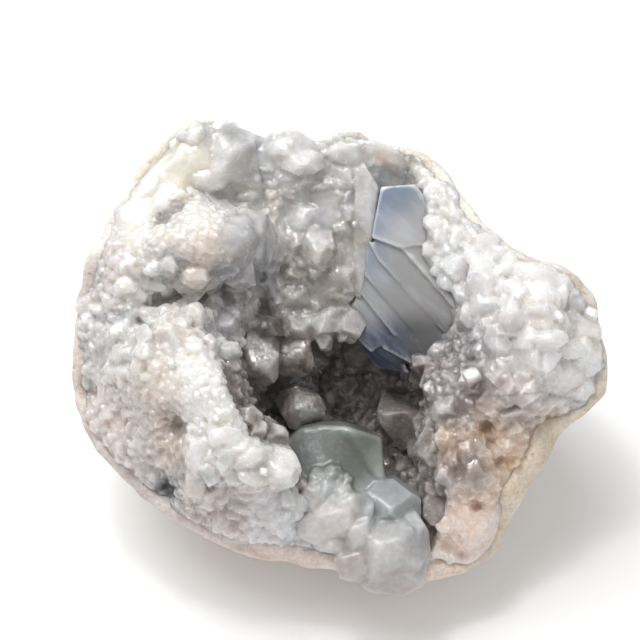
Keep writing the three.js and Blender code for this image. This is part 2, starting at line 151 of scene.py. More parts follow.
# Crevices, pits and knobs too fine for the CAD: x, y, reach, height.
DETAILS = [
    (-31.5, 38, 1.8, -4), (-27.5, 37, 2, -6), (-23.5, 35.8, 2, -7), (-19.5, 34.5, 1.8, -5),
    (-18.2, 49.5, 1.6, -3), (-39.8, 11.6, 2.2, -7), (-34.8, -16, 2, -5.5),
    (-38, -30.6, 2.4, -3.5), (-56, -9, 1.8, -2), (-43, 5, 1.8, -2.5), (-55, 8, 1.6, -2),
    (-50.5, 6.2, 1.6, -2), (-45, 8.2, 1.8, -3), (-36, 13, 1.8, -5), (-31, 12, 1.8, -4),
    (-26.5, 13, 1.8, -4), (12.8, 41, 3, -4), (33, -16.5, 1.4, -4), (34, -20, 1.3, -4),
    (36, -24, 1.2, -3.2), (31, -34.5, 1.2, -3.6), (24, -43.5, 2, -4), (28, -46, 1.6, -3.2),
]

# The chamber's mouth, clockwise from its left end, and its deeper pockets. On the left it is
# wider than in the CAD, to leave room for the crystals on its lip.
MOUTH = [
    (-23.5, 0.5), (-13, -1), (-4, 0.8), (3, 1), (9, -1), (16.5, -6.5), (19, -14), (20.5, -24),
    (20.5, -34), (14, -33), (3, -31.5), (-6, -30), (-12, -24.5), (-17.5, -15.5), (-22, -6),
]
POCKETS = [
    ((-8.5, -11, -24), (11, 10, 13)),
    ((4, -11, -27), (13, 11, 14)),
    ((13, -21, -22), (7, 12, 12)),
    ((-2, -4, -32), (13, 10, 9)),
    ((18.5, -34, -3), (2.5, 7, 9)),
]

# ---- What only the looks need, in millimetres unless a comment says otherwise ----

LEVEL_BAND = 3.0  # cells on each side of a surface for which distances are kept
ROCK_CELL = 0.8  # grid of the limestone
BED_CELL = 0.7  # grid of the crust's bed
DRUSE_CELL = 0.3  # grid of the crystals
LARGE_CELL = 0.4  # grid of the large crystals
DRUSE_MERGING = 0.22  # share by which flat parts of the druse go into larger triangles
ROCK_SPAN = ((-67, -59, -66), (67, 61, 10))  # lowest and highest corners of the grids
BED_SPAN = ((-66, -58, -52), (66, 60, 26))
DRUSE_SPAN = ((-66, -58, -48), (66, 60, 28))

ROCK_GRAIN = [(9, 0.5), (4, 0.28), (1.9, 0.14)]  # size and height of the stone's unevenness
BROKEN_GRAIN = 0.6  # share of it on the broken face
SKIN_NORM = 0.88  # least norm of the points that lie on the CAD nodule's skin
SPOT_HEIGHT = 0.001  # in metres; points below it belong to the flat spot
SKIN_LIFT = 0.2  # brings the uneven skin out to the CAD's
ROCK_ROUNDING = 2  # where the skin meets the broken face
SPOT_ROUNDING = 1  # where it meets the flat spot
RIM_WIDTH = 4.5  # of limestone that stays whole beside the chamber
LINING_GAP = 0.3  # between the chamber's lining and the limestone

BED_LUMPS = [(9, 0.8), (4.5, 0.45), (2.2, 0.2)]  # size and height of the bed's unevenness
LINING_UNEVENNESS = 0.8  # share of it in the chamber
BED_ROUNDING = 1.5  # where the bed's face meets its edge
BED_OVERLAP = 0.7  # of the bed and the limestone behind it
RIND_WAVER = (3, 0.8)  # size and width by which the crust's edge wanders
CHAMBER_INSET = 1.4  # room left for the crystals on the chamber's walls
LIP_INSET = 3  # the same at its lip
LIP_DEPTHS = (9, 3)  # under the face: where the lip begins, and where it is full
POCKET_ROUNDING = 3

SKIN_SCALE = 40  # turns the nodule's norm near its skin into a distance
SKIN_ROOM = 0.3  # how far the crystals may stand out of the plain nodule's skin
BOX_MARGIN = 0.1  # that the crust keeps inside the CAD model's box
SECTOR_MARGIN = 2  # cells of the grid beyond a sector's outline
SECTOR_OVERLAP = 0.5  # of neighbouring pieces of the crust
LARGE_OVERLAP = 0.4  # of the crust and the large crystals

# Lines along crevices and dark places, from the chamber outwards, that part the crust.
HUB = [(-4, -8), (-20, 5)]
LOWER_CREVICE = [(-25, 9), (-30, 12.5), (-36, 13), (-43, 11), (-50, 7.5), (-75, 9)]
BACK_CORNER = [(-17, 16), (-15.8, 27.5), (-17, 36.5), (-18.5, 45.5), (-18.2, 75)]
BEHIND_BLUE = [(6, 5), (12, 20), (14, 36), (16.5, 42), (20, 75)]
BEHIND_FRONT = [(-0.5, -20), (-0.5, -75)]
RIM_FOOT = [(18, -5), (30, -9.5), (44, -8.5), (57, -12), (75, -18)]
SECTORS = {
    "druse_upper_left": [*HUB, *LOWER_CREVICE, (-75, 75), *BACK_CORNER[::-1]],
    "druse_left": [*HUB, *LOWER_CREVICE, (-75, -75), *BEHIND_FRONT[::-1]],
    "druse_back": [*HUB, *BACK_CORNER, *BEHIND_BLUE[::-1]],
    "druse_rim": [HUB[0], *BEHIND_BLUE, (75, 75), *RIM_FOOT[::-1]],
    "druse_wall": [HUB[0], *RIM_FOOT, (75, -75), *BEHIND_FRONT[::-1]],
}

# Zones of the druse, by group: centre, reach, smallest and largest crystal, and colour.
Zone = namedtuple("Zone", "group at reach sizes colour")
DRUSE_ZONES = {
    "upper": [
        ((-40, 28.6), 9, (1.3, 2.8), (0.75, 0.72, 0.675)),
        ((-27.7, 33), 6, (1.2, 2.6), (0.88, 0.87, 0.84)),
        ((-28.4, 25.2), 5, (1.2, 2.6), (0.80, 0.71, 0.63)),
        ((-19, 25), 4, (2.4, 4), (0.46, 0.475, 0.49)),
        ((-40, 17.3), 6, (2, 3.6), (0.76, 0.75, 0.71)),
        ((-54.7, 17.3), 7, (1.6, 3.2), (0.70, 0.63, 0.61)),
    ],
    "left": [
        ((-48, 2.7), 8, (2, 4), (0.63, 0.63, 0.61)),
        ((-33, 7), 5, (2, 4), (0.75, 0.71, 0.665)),
        ((-30, -4), 6, (1.6, 3.2), (0.80, 0.80, 0.77)),
        ((-26.5, -13), 6, (1.4, 2.8), (0.94, 0.94, 0.91)),
        ((-21, -11), 4, (1.6, 3.2), (0.55, 0.56, 0.55)),
        ((-22, -22), 6, (2.6, 5), (0.80, 0.80, 0.78)),
    ],
    "lower": [
        ((-40, -5), 5, (1.4, 3), (0.80, 0.72, 0.64)),
        ((-41, -17), 6, (1.4, 3.2), (0.43, 0.34, 0.285)),
        ((-49, -14), 6, (1.6, 3.2), (0.72, 0.63, 0.58)),
        ((-47, -24), 6, (1.4, 3.0), (0.72, 0.66, 0.64)),
        # painted shade: dark grey over the pit at this place
        ((-38, -30.6), 4, (1.6, 3.2), (0.26, 0.26, 0.27)),
        ((-30, -37), 6, (1.3, 2.6), (0.56, 0.47, 0.43)),
        ((-22, -31), 5, (2, 4), (0.68, 0.62, 0.60)),
        ((-13, -36), 6, (1.2, 2.8), (0.76, 0.76, 0.78)),
    ],
    "back": [
        ((-12, 45.5), 5, (2.5, 5), (0.68, 0.69, 0.68)),
        ((1, 45.5), 5, (2.5, 5), (0.62, 0.62, 0.60)),
        ((1.5, 25), 8, (4.4, 7.6), (0.53, 0.49, 0.44)),
        ((-16.5, 27.5), 5, (4.4, 7), (0.54, 0.49, 0.44)),
        ((-20, 17.3), 5, (4.4, 7), (0.42, 0.41, 0.40)),
        ((-9, 14), 6, (4.6, 7.6), (0.40, 0.365, 0.33)),
        ((-11, 0.5), 6, (4, 6.6), (0.46, 0.39, 0.35)),
        ((-2, 6), 5, (2.6, 4.6), (0.44, 0.43, 0.42)),
        ((-21, 5), 5, (2.8, 4.8), (0.50, 0.49, 0.49)),
        ((6, 34), 4, (4.4, 7), (0.60, 0.61, 0.63)),
        ((4.6, 20), 4, (4.4, 7), (0.57, 0.58, 0.60)),
    ],
    "right": [
        ((25, 28), 5, (2, 4), (0.84, 0.82, 0.78)),
        ((30, 19.6), 6, (3.2, 6), (0.83, 0.83, 0.825)),
        ((35.3, 8.3), 6, (3.8, 6.6), (0.82, 0.81, 0.82)),
        ((46.6, 16), 7, (3.2, 6), (0.96, 0.94, 0.91)),
        ((55.6, 3.8), 4, (3.8, 6.4), (0.85, 0.825, 0.78)),
        ((51, -4), 6, (2.8, 5.4), (0.97, 0.97, 0.98)),
        # painted shade under the right rim, beside the chamber's mouth
        ((25, 1.6), 5, (2, 4), (0.15, 0.15, 0.155)),
    ],
    "wall": [
        # partly the wall's warm grey, partly painted shade beside the chamber's mouth
        ((23, -8.5), 7, (2.6, 4.8), (0.235, 0.195, 0.19)),
        ((26, -23), 8, (2.2, 4.4), (0.51, 0.37, 0.255)),
        ((42, -20), 8, (2.2, 4.4), (0.71, 0.485, 0.31)),
        ((41, -10.8), 6, (2.8, 5), (0.64, 0.58, 0.57)),
        ((32, -42), 8, (2, 4), (0.92, 0.72, 0.62)),
        # painted shade on the chamber's side of the right wall
        ((19.6, -28.8), 5, (2.8, 5), (0.28, 0.25, 0.24)),
    ],
}
ZONES = [Zone(group, *facts) for group, zones in DRUSE_ZONES.items() for facts in zones]
# The chamber's colour, darker than the crystals', is mostly painted shade in the deep chamber, over
# their brownish tone.
SHADED_CHAMBER_ZONE = Zone("chamber", None, None, (2.8, 5.4), (0.27, 0.235, 0.215))

# Larger crystals and lumps: centre, width and height across the face, turn in degrees, lean,
# how far the top stands out of the face, colour and kind of form.
Mass = namedtuple("Mass", "at size turn lean rise colour kind", defaults=["block"])
MASSES = {
    "top_lumps": [
        ((-25.5, 45), (20, 16), 20, (0, 0.2), 2.5, (0.42, 0.425, 0.43), "lump"),
        ((-30, 40), (13, 7), 10, (0, 0), 1.5, (0.84, 0.83, 0.80), "lump"),
        ((-35.5, 42), (15, 11), 38, (-0.2, 0.2), 1, (0.82, 0.77, 0.66), "lump"),
        ((-44, 35), (17, 11), 60, (-0.2, 0.1), 1, (0.92, 0.88, 0.80), "lump"),
        ((-20.5, 36.5), (7, 3.4), 10, (0, 0), 0.5, (0.80, 0.77, 0.72), "lump"),
        ((-10.5, 45.5), (15, 9.5), -5, (0, 0.3), 2.5, (0.60, 0.60, 0.58), "lump"),
        ((-8, 43.5), (9.5, 6.5), 5, (0, 0), 3.5, (0.72, 0.72, 0.72), "round"),
        ((3, 45.5), (11.5, 7.5), 5, (0, 0.3), 2, (0.60, 0.60, 0.58), "lump"),
        ((12, 44.6), (9.5, 4), -15, (0, 0.3), 1, (0.80, 0.71, 0.62), "lump"),
    ],
    "upper_left_mass": [
        ((-20.2, 25.6), (12, 15.5), 8, (0.2, 0), 2, (0.45, 0.455, 0.47), "lump"),
        ((-40.5, 15), (4.5, 3), -8, (0, -0.3), 3, (0.80, 0.84, 0.82)),
        ((-40.5, 18.5), (4.5, 3.5), 12, (0, -0.2), 3, (0.82, 0.85, 0.84)),
        ((-31.5, 17), (6.5, 6.5), 4, (0, -0.1), 5.4, (0.78, 0.68, 0.60)),
        ((-26, 18), (5.5, 4.5), 20, (0.1, -0.4), 2, (0.42, 0.43, 0.45)),
        ((-37.5, 19.5), (4, 6), -10, (0, -0.3), 2, (0.56, 0.56, 0.58)),
        ((-47, 14.5), (6, 6), 10, (0, -0.2), 2, (0.74, 0.68, 0.65)),
        ((-54, 10), (4.5, 3), 15, (-0.2, -0.3), 2, (0.80, 0.82, 0.78)),
    ],
    "left_ridge": [
        ((-32.5, 7), (7, 7.5), -15, (0.1, 0.2), 3, (0.76, 0.72, 0.66)),
        ((-31.5, 1), (5.5, 6), 10, (0.2, 0), 2.5, (0.86, 0.84, 0.80)),
        ((-26.5, 6), (6.5, 9.5), -6, (0.35, 0.1), 3, (0.52, 0.51, 0.53)),
        ((-25, 0), (6, 5), 20, (0.4, 0), 2.5, (0.55, 0.55, 0.55)),
        ((-28.5, -20), (8, 7.5), -10, (0.1, -0.2), 3, (0.78, 0.79, 0.77)),
        ((-22, -20), (9, 6), 10, (0.1, 0), 3, (0.86, 0.85, 0.82)),
        ((-18.5, -25), (7.5, 7.5), 15, (0.2, -0.1), 3, (0.76, 0.74, 0.72)),
        ((-13, -25), (8, 9), -20, (0.3, -0.2), 3, (0.76, 0.75, 0.72)),
        ((-11, -31.5), (3.5, 6.5), 8, (0, -0.4), 2, (0.52, 0.56, 0.53)),
    ],
    "lower_left": [
        ((-45, 7.5), (4.5, 4), 20, (0, 0.2), 1.5, (0.60, 0.62, 0.62)),
        ((-38, -23), (5, 7), -25, (0, -0.2), 2, (0.66, 0.57, 0.50)),
        ((-32, -29), (5, 6), 10, (0, -0.2), 2, (0.66, 0.60, 0.55)),
        ((-28, -27.5), (5.5, 5), -10, (0, 0), 1, (0.42, 0.42, 0.43)),
        # painted shade: a dark patch over the pit at this place
        ((-39, -31), (6, 4.5), 0, (0, 0), 0.5, (0.22, 0.22, 0.24)),
        ((-28.5, -36), (3.5, 5), 8, (0, -0.3), 1.5, (0.60, 0.52, 0.46)),
    ],
    "back_wall": [
        ((-6, 31), (15.5, 12.5), 15, (0, 0), 2.4, (0.36, 0.37, 0.385), "lump"),
        ((0.5, 28.5), (7, 7.5), 10, (0, 0), 1.5, (0.53, 0.52, 0.49)),
        ((-9, 14.5), (13, 10), 8, (0, -0.1), 2, (0.36, 0.34, 0.315)),
        ((-18, 15), (8, 8.5), 0, (0, 0), 1, (0.36, 0.36, 0.37)),
        ((1, 18), (10, 10.5), -20, (0.1, 0), 2, (0.52, 0.49, 0.44)),
        ((-18.5, 5.5), (10.5, 8.5), 12, (0.1, -0.2), 2, (0.48, 0.46, 0.45)),
        ((-9, 7), (9, 11), -5, (0, -0.3), 3, (0.44, 0.43, 0.42)),
        ((-2, 7.5), (12, 10.5), 25, (0, -0.5), 3.4, (0.44, 0.43, 0.41)),
        ((3, 7), (8.5, 8.5), -20, (0.2, -0.5), 3, (0.46, 0.45, 0.44)),
        ((-3, 3), (3.5, 6.5), 12, (0, -0.9), 3.5, (0.42, 0.41, 0.40)),
        ((1.5, 4), (3, 4.5), -15, (0, -0.9), 3, (0.42, 0.41, 0.40)),
        ((-11.5, 0.5), (11.5, 13), 5, (0, -0.4), 2.6, (0.40, 0.34, 0.31)),
        ((-18.5, -1.5), (10, 12), -8, (0, -0.4), 1.8, (0.34, 0.33, 0.325)),
    ],
    "right_rim": [
        ((25, 22.5), (8, 5.5), -35, (0, 0), 2.5, (0.84, 0.85, 0.86)),
        ((32.5, 20), (9, 6), -20, (0, 0), 3, (0.86, 0.86, 0.855)),
        ((28.5, 16), (5, 6), 0, (0, -0.3), 3, (0.66, 0.65, 0.68)),
        ((33, 11), (7.5, 8), 0, (0, -0.15), 4, (0.90, 0.90, 0.90)),
        ((36.5, 4.5), (8.5, 7), -10, (0, -0.2), 3, (0.60, 0.58, 0.57)),
        ((43.5, 9), (9.5, 6), -8, (0, 0.1), 3.5, (0.78, 0.75, 0.73)),
        ((45.5, 2.5), (8.5, 5.5), 0, (0, 0.2), 4, (0.74, 0.74, 0.73)),
        ((37.5, -1.5), (6.5, 7), 12, (0, -0.1), 2.5, (0.55, 0.53, 0.52)),
        ((50.5, 1), (7, 5), -20, (0, 0), 3, (0.80, 0.80, 0.80)),
        ((53.5, -3.5), (11, 7.5), 8, (0, 0.2), 2.5, (0.98, 0.98, 0.99)),
        ((55, 4.5), (7, 9.5), 5, (0.1, 0), 2, (0.82, 0.79, 0.74)),
        ((43.5, 16), (13, 7.5), -15, (0, 0.2), 2.5, (0.96, 0.93, 0.90), "round"),
        # painted shade: a grey patch in a shadowy place among the rim's pale crystals
        ((52.5, 10), (6.5, 6), 0, (0, 0), 1, (0.52, 0.52, 0.54)),
    ],
    "right_wall": [
        # These four, by the chamber, are dark partly in their own grey-lilac tone and partly as
        # painted shade.
        ((20.5, -3), (7.5, 5.5), -10, (0, -0.1), 2, (0.28, 0.24, 0.235)),
        ((25, -12), (8.5, 8), 10, (-0.2, -0.1), 2, (0.25, 0.215, 0.21)),
        ((29.5, -25.5), (7, 10), 4, (-0.1, -0.1), 2, (0.32, 0.26, 0.24)),
        ((24.5, -26.5), (5, 7.5), -4, (-0.3, 0), 2, (0.36, 0.30, 0.28)),
        ((39, -13), (10, 6), 8, (0, 0), 1.5, (0.44, 0.39, 0.37)),
        ((49.5, -9.5), (12.5, 5.5), 22, (0, 0), 1.5, (0.95, 0.87, 0.84)),
    ],
    "chamber": [
        # painted shade: a nearly black crystal deep in the chamber
        ((-8, -14), (9, 9), 25, (0.2, -0.2), 1.5, (0.10, 0.11, 0.105)),
    ],
}

# The blue crystal's blades as they show: corners in front, and how deep the blade roots.
BLUE_PLANKS = [
    ([(9.9, 37.8, -6.6), (18, 38.4, -6.2), (22.5, 31, -5), (22, 24.5, -3.8), (14, 23.6, -4.8),
      (7.7, 26.1, -6.4)], -25),
    ([(17.6, 38, -6.6), (24, 30, -5.6), (26, 19.5, -4.4), (31.5, 8, -3), (27.3, 8.6, -3.4),
      (14.2, 23.8, -5.2)], -25),
    ([(7, 25.4, -8), (13.9, 23.4, -6.2), (21.4, 14.8, -5), (27, 8.4, -4.4), (29.5, 3.8, -5),
      (24.5, 4, -6.2), (9.2, 21, -8)], -26),
    ([(6.8, 25, -9.6), (9.4, 21.8, -8.8), (15, 14.4, -7.6), (22, 6.2, -6.8), (24.5, 0.4, -7.6),
      (18.5, 3, -9), (6.2, 17.5, -11)], -27),
    ([(6, 18.5, -12), (10, 14.6, -10.6), (16, 8, -9.4), (19.6, 1, -9.2), (13, 3.5, -11),
      (5, 13.6, -13)], -27),
    ([(5, 14.2, -14), (9, 10.4, -12.6), (13.2, 6, -11.6), (11, 3, -13), (3.6, 10.6, -15)],
     -28),
    ([(3.4, 11.5, -15.6), (7.5, 7.4, -14), (12, 2.4, -13), (8, -0.5, -15.6), (2.7, 4.5, -16.4)],
     -28),
    ([(2.7, 3.8, -17), (12.8, 3, -12.6), (17, -5.4, -15), (9.5, -4, -20)], -29),
    ([(11.6, 8, -12), (21, 9, -7.8), (31, 7.4, -4.8), (31, 2, -4.6), (27, -3, -5.6),
      (19, -4, -8.4), (10.6, 0.5, -13.6)], -25),
]
BAND = [
    ([(6, 43.4, -6.6), (9.6, 37.6, -8.2), (7.8, 25.2, -9.4), (5.4, 12, -13.2),
      (3.6, 13, -14.6), (3.8, 25, -11), (4, 36.5, -8.8), (4, 42, -7.4)], -26),
]
BLUE_COLOURS = [
    (14.5, 34.6, 3, (0.25, 0.32, 0.42)), (11, 37, 2.2, (0.32, 0.38, 0.48)),
    (20.5, 31, 4.4, (0.52, 0.51, 0.51)), (9.4, 28.5, 2.2, (0.36, 0.43, 0.54)),
    (14, 27.5, 2.6, (0.66, 0.66, 0.67)), (7, 20.5, 2.4, (0.42, 0.48, 0.60)),
    (14, 17, 4.5, (0.50, 0.50, 0.50)), (10, 17.5, 2, (0.58, 0.62, 0.66)),
    (24, 13, 5, (0.50, 0.49, 0.49)), (6, 9.8, 3, (0.54, 0.55, 0.57)),
    (9, 0, 4, (0.12, 0.15, 0.23)), (20.7, 2.5, 4, (0.095, 0.095, 0.10)),
    (25, 2, 3, (0.24, 0.235, 0.24)),
]
BLADE_WAY = (0.68, -0.73, 0.1)

# The front crystals as they show: blocks, and lumps by place, width and height, turn and top.
FRONT_BLOCKS = [
    ([(-12.2, -21, -5.4), (-8.6, -17.6, -4), (-3.5, -16.6, -3), (1.6, -16.9, -2.8),
      (5.6, -18, -2.8), (9.8, -19.6, -3.2), (10.4, -24.5, -1.6), (11, -29.5, -0.4),
      (5, -33, 1), (-5, -33, 1), (-9.4, -27, -1.8)], -20),
    ([(-6, -16.9, -3.8), (2, -16.8, -2), (9.9, -19.4, -2.4), (10.6, -29, 0.6), (8, -28.5, 0),
      (7.2, -21.6, -2.2)], -12),
]
FRONT_LUMPS = [
    ((-3, -37), (13.5, 12.5), 10, 8), ((-6.2, -33.6), (8, 7), 0, 6.8),
    ((1.4, -34.4), (8, 8), 20, 7.8), ((-1.6, -41.8), (10, 6.4), -10, 7),
    ((-4.4, -28), (4.6, 4.2), 0, 4), ((-1.6, -27.4), (4.6, 4.2), 30, 4.4),
    ((1, -29), (4.4, 4.4), 50, 4.8), ((-5.6, -31), (5, 5), 15, 5.8),
    ((-2.4, -30.8), (6, 5), 60, 6.2), ((1, -31.8), (5, 5), 80, 6.4),
    ((4.4, -35.4), (7, 8), 0, 6), ((4.4, -40), (9, 10), 15, 7.4),
    ((10.6, -43.4), (19, 17), 10, 9.4), ((11, -35), (13, 12), 0, 5.8),
    ((4.8, -46), (10, 9), 20, 6.8), ((16, -42.6), (9, 15), 5, 6.4),
    ((11.2, -49.2), (14.5, 10), -5, 6.6), ((16.6, -48), (7, 7), 40, 4.6),
]
FRONT_COLOURS = [
    (-5, -21.5, 4, (0.23, 0.25, 0.24)), (2.6, -22.6, 3.6, (0.155, 0.17, 0.14)),
    (9.2, -24.5, 1.6, (0.28, 0.31, 0.28)), (1, -17.2, 1.3, (0.36, 0.42, 0.38)),
    (-2.2, -30.4, 2, (0.66, 0.68, 0.68)), (-3, -37, 4, (0.78, 0.745, 0.725)),
    (10.6, -33.3, 3.2, (0.47, 0.49, 0.50)), (10.6, -43.6, 4, (0.65, 0.645, 0.64)),
    (2.8, -47, 2.5, (0.54, 0.48, 0.45)), (18.5, -42, 2, (0.46, 0.45, 0.46)),
    (12, -51, 2, (0.56, 0.50, 0.49)),
]

# Facets that mirror the light: x, y, size across, how far they stand out of the face.
GLINTS = [
    (-49.5, 6, 4.2, 2.4), (29, -5, 3.4, 7.5), (-1.4, 24, 1.2, 4.2), (1.8, 14, 1, 4.6),
    (-17, 6, 1.6, 4.4), (3.8, 29.4, 1.2, 3), (48, 7.9, 2, 4.4), (56, 8.6, 2.6, 3.4),
    (-15.7, 42.6, 1.6, 3), (-10.8, 47.6, 1.4, 3), (5.4, 47.6, 1.6, 2.6), (39, 12.4, 1.8, 4.6),
    (-40, 19, 1.8, 4.4), (-20.5, 26.5, 1, 4.6), (-36, -2, 1.6, 3.4), (-26, -13.6, 1.4, 3.6),
    (-31, 9, 1.2, 4), (-16, -25, 1.8, 4), (45, 3.4, 1.8, 4.4), (51, -2.6, 1.4, 4.4),
]
GLINT_LEAN = (-0.205, 0.5)
GLINT_HEIGHT = 0.8  # across the face, as a share of its size
GLINT_TURN = 20  # degrees from one to the next
GLINT_COLOUR = (0.94, 0.94, 0.96)

MASS_DEPTH = 1.1  # as a share of its size across
FORM_TOPS = {"block": 0.6, "round": 0.6, "lump": 0.5, "plate": 0.5}  # of a form of size 1
FORM_CLEARINGS = {"block": 0.7, "round": 1, "lump": 1, "plate": 1}  # bare of free crystals
MASS_TINT = 0.85  # share of a mass's own colour at its middle
MASS_FADE = 0.7  # how fast it fades outwards
MASS_TINT_DEPTHS = (6, 3)  # under its top, where its colour ends and where it is full
ZONE_FADE = 0.7  # reach of a zone's colour, as a share of the zone's
SMOOTHING = 0.9  # of the relief on the lumps and other smooth masses
SHADE_DEPTHS = (1, 4.5)  # under the face, where the chamber's colour, which is painted shade, begins and is full

ZONE_BLUR = 0.45  # how much chance mixes neighbouring zones
CHAMBER_DEPTH = 5  # under the face, where the chamber's zone begins
BED_SAMPLES = 150000  # chance places that the crystals' places are chosen from
FOOT_MARGIN = 1  # between a crystal's middle and the crust's edge or a blade
FRONT_LUMP_CLEARING = 0.2  # squared share of a front lump's width that is bare
DEEP_PIT = -3  # height of the pits that stay bare
PIT_CLEARING = 1.2  # bare round a pit, as a share of its reach
FILL_SHARE = 0.5  # size of the crystals that fill in between the main ones
FILL_SPACING = 0.8
STRETCH = ((0.9, 1.15), (0.8, 1.1), (0.85, 1.25))  # of a crystal along each of its axes

# How the crystals of each group stand: depth in their bed and spacing, as shares of their size,
# lean, and the share of the gaps between them that smaller ones fill.
GROUPS = {
    "upper": (0.22, 0.55, 0.42, 1),
    "left": (0.04, 0.55, 0.42, 1),
    "lower": (0.16, 0.55, 0.42, 1),
    "back": (0.42, 0.45, 0.24, 0.35),
    "right": (0.16, 0.55, 0.36, 0.45),
    "wall": (0.42, 0.5, 0.34, 0.6),
    "chamber": (0.1, 0.55, 0.42, 0.6),
}
CLUSTERING = (6, 0.35)  # reach and strength of the swings in the crystals' size
LIP_REACH = 7  # towards the chamber the ridge's crystals get smaller over this distance
LIP_SIZE = 0.45  # of their size, at its edge

# A place is in the open where a point this far in front of it lies less than the cover under
# the face, or less than the slack outside the chamber's empty space.
SIGHT_STEP = 1.5
SIGHT_COVER = 1.2
SIGHT_SLACK = 0.3

# Forms of size 1. Blocks and round ones are crystals, of which some differ from each other.
CRYSTAL_FOOT = -0.7  # how deep a crystal roots
BEVEL_FOOT = -0.3  # lowest edge of it that is bevelled
FLAT_ANGLE = 1.5  # degrees between faces that are taken for one
KINDS = {
    "block": {"thickness": (0.75, 1.1), "bevel": 0.02, "segments": 1, "count": 26},
    "round": {"thickness": (0.8, 1.15), "bevel": 0.1, "segments": 2, "count": 14},
}
LUMP_FORMS = 8
LUMP_SWELLS = (0.05, 0.45)  # height and size of the waves on a lump
LUMP_RIPPLES = (0.012, 0.12)
LUMP_FLATS = 16
FLAT_REACH = (0.36, 0.46)  # how far from its middle the lump is flattened
FLATTENING = 0.8
PLATE_BEVEL = 0.03
WAVE_RATE = 1.6  # how fast the waves at places swing, for a size of 1

# Bevels of the large crystals' edges; a front lump's is a share of its size.
BLUE_BEVEL = 0.25
BLOCK_BEVEL = 0.9
BAND_BEVEL = 0.8
LUMP_BEVEL = 0.14
BEVEL_STEPS = 3
# Angles in degrees above which an edge is shaded sharp.
DRUSE_CREASE = 24
BLUE_CREASE = 16
PALE_CREASE = 60

# Colour of the limestone at the face, by direction from its centre: degrees, colour.
RIND_COLOURS = [
    (0, (0.80, 0.73, 0.64)), (30, (0.86, 0.82, 0.75)), (60, (0.85, 0.81, 0.73)),
    (90, (0.70, 0.68, 0.64)), (120, (0.86, 0.83, 0.76)), (135, (0.88, 0.82, 0.68)),
    (160, (0.80, 0.72, 0.68)), (185, (0.78, 0.66, 0.60)), (215, (0.68, 0.62, 0.60)),
    (250, (0.84, 0.72, 0.66)), (272, (0.86, 0.74, 0.67)), (300, (0.84, 0.69, 0.58)),
    (325, (0.82, 0.70, 0.54)), (345, (0.84, 0.74, 0.60)),
]

BACK_COLOUR = (0.70, 0.62, 0.52)
BACK_DEPTHS = (-4, -22)  # heights where that colour begins and is full

CAMERA_AIM = (-4.1, 7.2, 0)  # point of the face, in its own frame
CAMERA_DISTANCE = 340
CAMERA_LENS = 85
FLOOR_REACH = 3  # metres each way
STUDIO_LIGHT = 0.5
# Soft lights: direction in the face frame, distance, size in metres and power in watts.
LIGHTS = {
    "key": ((-0.32, 0.78, 0.55), 480, 0.4, 2.0),
    "sparkle": ((-0.2, 0.7, 0.7), 450, 0.07, 0.45),
    "fill": ((0.3, -0.2, 1), 700, 0.6, 0.75),
}

rng = np.random.default_rng(20)


# ---- Places ----

def leant(x, y, z):
    """Coordinates of the face frame, turned to the row frame's directions."""
    return x, y * LEAN_SINE - z * LEAN_COSINE, y * LEAN_COSINE + z * LEAN_SINE


def to_world(points):
    """Points of the face frame, in millimetres, as points of the row frame, in metres."""
    x, y, z = np.asarray(points, float).reshape(-1, 3).T
    return (np.column_stack(leant(x, y, z)) + FACE_CENTRE) * 0.001


def to_face(points):
    """Points of the row frame, in metres, as points of the face frame, in millimetres."""
    x, v, w = (np.asarray(points, float).reshape(-1, 3) * 1000 - FACE_CENTRE).T
    return np.column_stack((
        x, v * LEAN_SINE + w * LEAN_COSINE, w * LEAN_SINE - v * LEAN_COSINE,
    ))


def smooth_step(low, high, value):
    share = np.clip((value - low) / (high - low), 0, 1)
    return share * share * (3 - 2 * share)


def smooth_max(a, b, blend):
    share = np.clip(0.5 + 0.5 * (a - b) / blend, 0, 1)
    return b + (a - b) * share + blend * share * (1 - share)


def unit(vectors):
    return vectors / np.maximum(np.linalg.norm(vectors, axis=-1, keepdims=True), 1e-9)


# ---- The opened face and the chamber ----

def edge_curve(steps=80):
    """The edge as a closed centripetal Catmull-Rom curve, stretch by stretch."""
    corners = np.array([(x, y) for x, y, _ in EDGE])
    share = np.linspace(0, 1, steps, endpoint=False)[:, None]
    points = []
    for i in range(len(corners)):
        p = [corners[(i + step) % len(corners)] for step in (-1, 0, 1, 2)]
        gaps = [math.sqrt(np.linalg.norm(p[k + 1] - p[k])) for k in range(3)]
        slopes = [(p[k + 1] - p[k]) / gaps[k] for k in range(3)]
        across = [(p[k + 2] - p[k]) / (gaps[k] + gaps[k + 1]) for k in range(2)]
        start = (slopes[0] - across[0] + slopes[1]) * gaps[1]
        end = (slopes[1] - across[1] + slopes[2]) * gaps[1]
        a, b = p[1], p[2]
        points.append(
            a + start * share + (3 * (b - a) - 2 * start - end) * share**2
            + (2 * (a - b) + start + end) * share**3
        )
    return np.vstack(points)


def directions(x, y):
    return np.degrees(np.arctan2(y, x)) % 360


def edge_radii():
    """How far the edge is from the face's centre, degree by degree."""
    curve = edge_curve()
    degrees = np.round(directions(*curve.T)).astype(int) % 360
    radii = np.zeros(360)
    np.maximum.at(radii, degrees, np.linalg.norm(curve, axis=1))
    return radii


EDGE_RADII = edge_radii()


def edge_radius(x, y):
    return np.interp(directions(x, y), np.arange(360), EDGE_RADII, period=360)


def bare_rind(x, y):
    """Width of the bare rind in a point's direction."""
    degrees, widths = zip(*BARE_RIND)
    return np.interp(directions(x, y), degrees, widths, period=360)


def inside_crust(x, y):
    """How far a point of the face lies inside the crust's edge."""
    return edge_radius(x, y) - bare_rind(x, y) - np.hypot(x, y)


